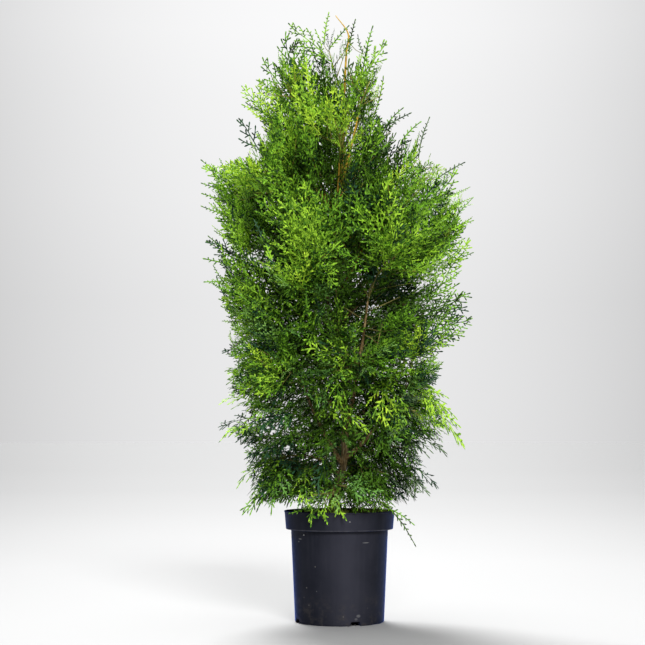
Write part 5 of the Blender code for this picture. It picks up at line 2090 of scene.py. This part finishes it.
def build_plant():
    plans = bough_plans(BOUGH_STATIONS)
    stems = {mass_name(name): stem_plan(points) for name, points, _ in plans}
    stems["mass_top"] = top_stem_plan()
    heights = np.linspace(TRUNK_HEIGHTS[0], TRUNK_HEIGHTS[-1], 24)
    trunk = ([trunk_point(h) for h in heights], [trunk_radius(h) for h in heights])
    limbs = Segments([trunk] + [(points, widths) for _, points, widths in plans])
    windows = window_lines(plans)
    lines, kept, candidates, carriers_all = [], [], [], []
    for number, (name, stem) in enumerate(stems.items()):
        others = Segments([other_stem for other, other_stem in stems.items() if other != name])
        space = Space(Segments([stem]), others, limbs)
        dice = random.Random(SEED + number)
        twigs = grow_twigs(stem[0], space, dice)
        sprays = choose_sprays(find_sprays([stem[0], *twigs], space, dice))
        fine_dice = random.Random(FINE_SEED + number)
        kept += [Frond(matrix, length, fine_dice) for matrix, length in sprays]
        fine = fine_twigs([stem[0], *twigs], fine_dice)
        carriers = [stem[0], *twigs, *fine]
        carriers_all += carriers
        candidates += fine_candidates(carriers, FINE_TRIES, fine_dice, windows)
        lines.append((stem[0], *STEM_RADII))
        lines += [(twig, *TWIG_RADII) for twig in twigs]
        lines += [(twig, *FINE_RADII) for twig in fine]
    dice = random.Random(FINE_SEED - 1)
    outer_boughs = [points[1:] for _, points, _ in plans]
    candidates += fine_candidates(outer_boughs, BOUGH_TRIES, dice, windows, BOUGH_SPRAYS)
    filling = filling_twigs(plans, dice)
    lines += [(twig, *FINE_RADII) for twig in filling]
    candidates += fine_candidates(filling, FILLING_TRIES * len(filling), dice, windows, FILLING_SPRAYS)
    stretches = []
    for low, high, count, tries, lengths in TRUNK_STRETCHES:
        stretches.append([trunk_point(h) for h in np.linspace(low, high, count)])
        candidates += fine_candidates(stretches[-1:], tries, dice, windows, lengths)
    wood = carriers_all + outer_boughs + filling + stretches[:2]
    named, named_twigs = named_fronds(wood, dice)
    lines += [(twig, *FINE_RADII) for twig in named_twigs]
    lines += [([Vector(point) for point in twig], *NAMED_TWIG_RADII) for twig in NAMED_TWIGS]
    kept += named
    kept += choose_fronds(candidates, kept, FINE_COUNT)
    taken = {id(frond) for frond in kept}
    rest = [frond for frond in candidates if id(frond) not in taken]
    kept += even_cover(rest, kept, COVER_COUNT, dice)
    return kept, lines, list(stems)


# Each bark's furrows, middle tone and flakes. The limbs turn golden high up, the twigs do not.
BARKS = {
    "trunk_bark": ((0.050, 0.034, 0.012), (0.240, 0.170, 0.075), (0.58, 0.48, 0.27)),
    "bough_bark": ((0.055, 0.032, 0.010), (0.280, 0.180, 0.070), (0.58, 0.44, 0.22)),
    "young_bark": ((0.160, 0.060, 0.015), (0.400, 0.190, 0.040), (0.60, 0.36, 0.10)),
    "twig_bark": ((0.085, 0.070, 0.018), (0.200, 0.180, 0.045), (0.40, 0.36, 0.11)),
    "young_twig_bark": ((0.120, 0.120, 0.018), (0.260, 0.250, 0.038), (0.46, 0.41, 0.08)),
}
PEAT = ((0.018, 0.011, 0.007), (0.050, 0.031, 0.019), (0.11, 0.075, 0.045))
GRIT = ((0.04, 0.026, 0.016), (0.12, 0.085, 0.055), (0.32, 0.27, 0.21))
MOSS = ((0.030, 0.050, 0.008), (0.210, 0.250, 0.024))
TEMPLATE_SEED = 5

barks = {name: bark_material(name, *tones, "twig" not in name) for name, tones in BARKS.items()}
build_pot(plastic_material())
peat = soil_material("peat", *PEAT)
bpy.data.objects["root_ball"].data.materials.clear()
bpy.data.objects["root_ball"].data.materials.append(peat)
build_soil(peat, soil_material("grit", *GRIT))
build_moss(moss_material("moss", *MOSS))
build_bark(barks["trunk_bark"], barks["bough_bark"], barks["young_bark"])

grown, twig_lines, mass_nodes = build_plant()
template_dice = random.Random(TEMPLATE_SEED)
frond_templates = {
    "upright": [frond_template(UPRIGHT, length, template_dice) for length in TEMPLATE_LENGTHS],
    "hanging": [frond_template(HANGING, length, template_dice) for length in TEMPLATE_LENGTHS],
    "shoot": [shoot_template(length, template_dice) for length in SHOOT_LENGTHS],
}
leaf_materials = {tint: leaf_material("leaves_" + tint, *colours) for tint, colours in TINTS.items()}
build_twigs(twig_lines, barks["twig_bark"], barks["young_twig_bark"])
build_foliage(grown, frond_templates, leaf_materials, mass_nodes)

# The studio: a wide pale floor with a painted fall-off and pool of light, under an even pale sky, and
# soft light from above and the front.
FLOOR_RADIUS = 60.0
FLOOR_FADE = 26.0
# Painted fall-off of light on the floor: its grey by distance from the pot's axis, paler near and darker
# far off.
FLOOR_PAINTED_FALLOFF = (
    (0.0, 0.416), (1.7, 0.416), (3.3, 0.391), (5.0, 0.366), (8.0, 0.342), (14.0, 0.334), (26.0, 0.331)
)

# The pool of light painted round the middle of the backdrop, on the floor and on the sky that is seen:
# its fade by the squared slope aside. The grey of the floor and of the sky is a trace bluer than neutral.
STANDPOINT = 3.6
POOL_EDGE = 0.045
POOL_FADE = 0.26
POOL_GROWTH = ((0.0, 0.20), (0.7, 0.33), (2.1, 0.57), (5.0, 0.75), (8.0, 0.87), (14.0, 1.0))
SKY_GREYS = ((0.0, 0.822), (0.08, 0.832), (0.141, 0.885), (0.20, 0.918), (0.24, 0.955))
SKY_TOP = SKY_GREYS[-1][0]
SKY_BLUENESS = 1.006
SKY_POOL_FROM = 0.23
FLOOR_BLUENESS = 1.003
LEAST_AHEAD = 0.5
LEAST_SKY_AHEAD = 0.2
POOL_DEPTH = POOL_GROWTH[-1][0]


def pool_fade(n, aside):
    """How much the pool of light has faded at a slope aside."""
    return n.between(n.math("MULTIPLY", aside, aside), 0.0, POOL_EDGE, 0.0, POOL_FADE)


def build_stage():
    shape = bmesh.new()
    bmesh.ops.create_circle(shape, cap_ends=True, radius=FLOOR_RADIUS, segments=96)
    n = Nodes("studio_floor")
    stops = [(at / FLOOR_FADE, (grey, grey, grey * FLOOR_BLUENESS)) for at, grey in FLOOR_PAINTED_FALLOFF]
    # Painted fall-off of light: paler near the pot, darker far off.
    colour = n.ramp(n.between(n.from_axis(), 0.0, FLOOR_FADE), stops)
    # Painted pool of light: the floor darkens aside and far back.
    parts = n.parts()
    ahead = n.math("MAXIMUM", n.math("ADD", parts["Y"], STANDPOINT), LEAST_AHEAD)
    fade = pool_fade(n, n.math("DIVIDE", parts["X"], ahead))
    growth = [(at / POOL_DEPTH, (share, share, share)) for at, share in POOL_GROWTH]
    far = n.ramp(n.between(parts["Y"], 0.0, POOL_DEPTH), growth)
    colour = n.dimmed(colour, n.math("SUBTRACT", 1.0, n.math("MULTIPLY", fade, far)))
    material = n.set(Base_Color=colour, Roughness=0.9, Specular_IOR_Level=0.1)
    add_object("floor", drawn(shape, "floor"), material)


def add_sun(name, energy, spread, azimuth, elevation):
    light = bpy.data.lights.new(name, "SUN")
    light.energy = energy
    light.angle = math.radians(spread)
    made = bpy.data.objects.new(name, light)
    SCENE.objects.link(made)
    a, e = math.radians(azimuth), math.radians(elevation)
    towards = Vector((math.cos(a) * math.cos(e), math.sin(a) * math.cos(e), math.sin(e)))
    made.rotation_mode = "QUATERNION"
    made.rotation_quaternion = towards.to_track_quat("Z", "Y")


class WorldNodes(Nodes):
    """The same short way, for the world's nodes, where a place is a direction of sight."""

    def __init__(self, world):
        world.use_nodes = True
        self.tree = world.node_tree
        self.tree.nodes.clear()
        self.place = self.tree.nodes.new("ShaderNodeTexCoord").outputs["Generated"]


def build_world():
    """A pale backdrop to look at, with a soft pool of light, and an even dim sky to light by."""
    world = bpy.data.worlds.new("studio")
    bpy.context.scene.world = world
    n = WorldNodes(world)
    parts = n.parts()
    stops = [(at / SKY_TOP, (grey, grey, grey * SKY_BLUENESS)) for at, grey in SKY_GREYS]
    grey = n.ramp(n.between(parts["Z"], 0.0, SKY_TOP), stops)
    ahead = n.math("MAXIMUM", parts["Y"], LEAST_SKY_AHEAD)
    fade = pool_fade(n, n.math("DIVIDE", parts["X"], ahead))
    fade = n.math("MULTIPLY", fade, n.between(parts["Y"], 0.0, SKY_POOL_FROM))
    grey = n.dimmed(grey, n.math("SUBTRACT", 1.0, fade))
    seen = n.node("ShaderNodeBackground", {"Color": grey})
    lit = n.node("ShaderNodeBackground", {"Color": SKY_COLOUR, "Strength": SKY_STRENGTH})
    choose = n.node("ShaderNodeMixShader")
    n.link(n.node("ShaderNodeLightPath").outputs["Is Camera Ray"], choose.inputs[0])
    n.link(lit.outputs[0], choose.inputs[1])
    n.link(seen.outputs[0], choose.inputs[2])
    n.link(choose.outputs[0], n.node("ShaderNodeOutputWorld").inputs["Surface"])


# The sky's strength, and each sun's strength, spread, azimuth and elevation.
SKY_STRENGTH = 0.05
SKY_COLOUR = (0.95, 0.98, 1.0, 1.0)
SUNS = {
    "key": (3.05, 21, 282, 31),
    "back": (5.4, 26, 105, 53),
    "over": (1.5, 50, 110, 84),
}

# The camera stands where the photograph's did, and looks a little upwards.
CAMERA_PLACE = (-0.037, -3.6, 0.411)
CAMERA_PITCH = math.radians(3.80)
CAMERA_LENS = 91.72
SENSOR_WIDTH = 36.0
CLIP_END = 200.0


def build_camera():
    data = bpy.data.cameras.new("camera")
    data.sensor_width = SENSOR_WIDTH
    data.lens = CAMERA_LENS
    data.clip_end = CLIP_END
    made = bpy.data.objects.new("camera", data)
    SCENE.objects.link(made)
    made.location = CAMERA_PLACE
    made.rotation_euler = (math.pi / 2 + CAMERA_PITCH, 0.0, 0.0)
    bpy.context.scene.camera = made


build_stage()
build_world()
for sun, numbers in SUNS.items():
    add_sun(sun, *numbers)
build_camera()
bpy.context.scene.view_settings.view_transform = "Standard"
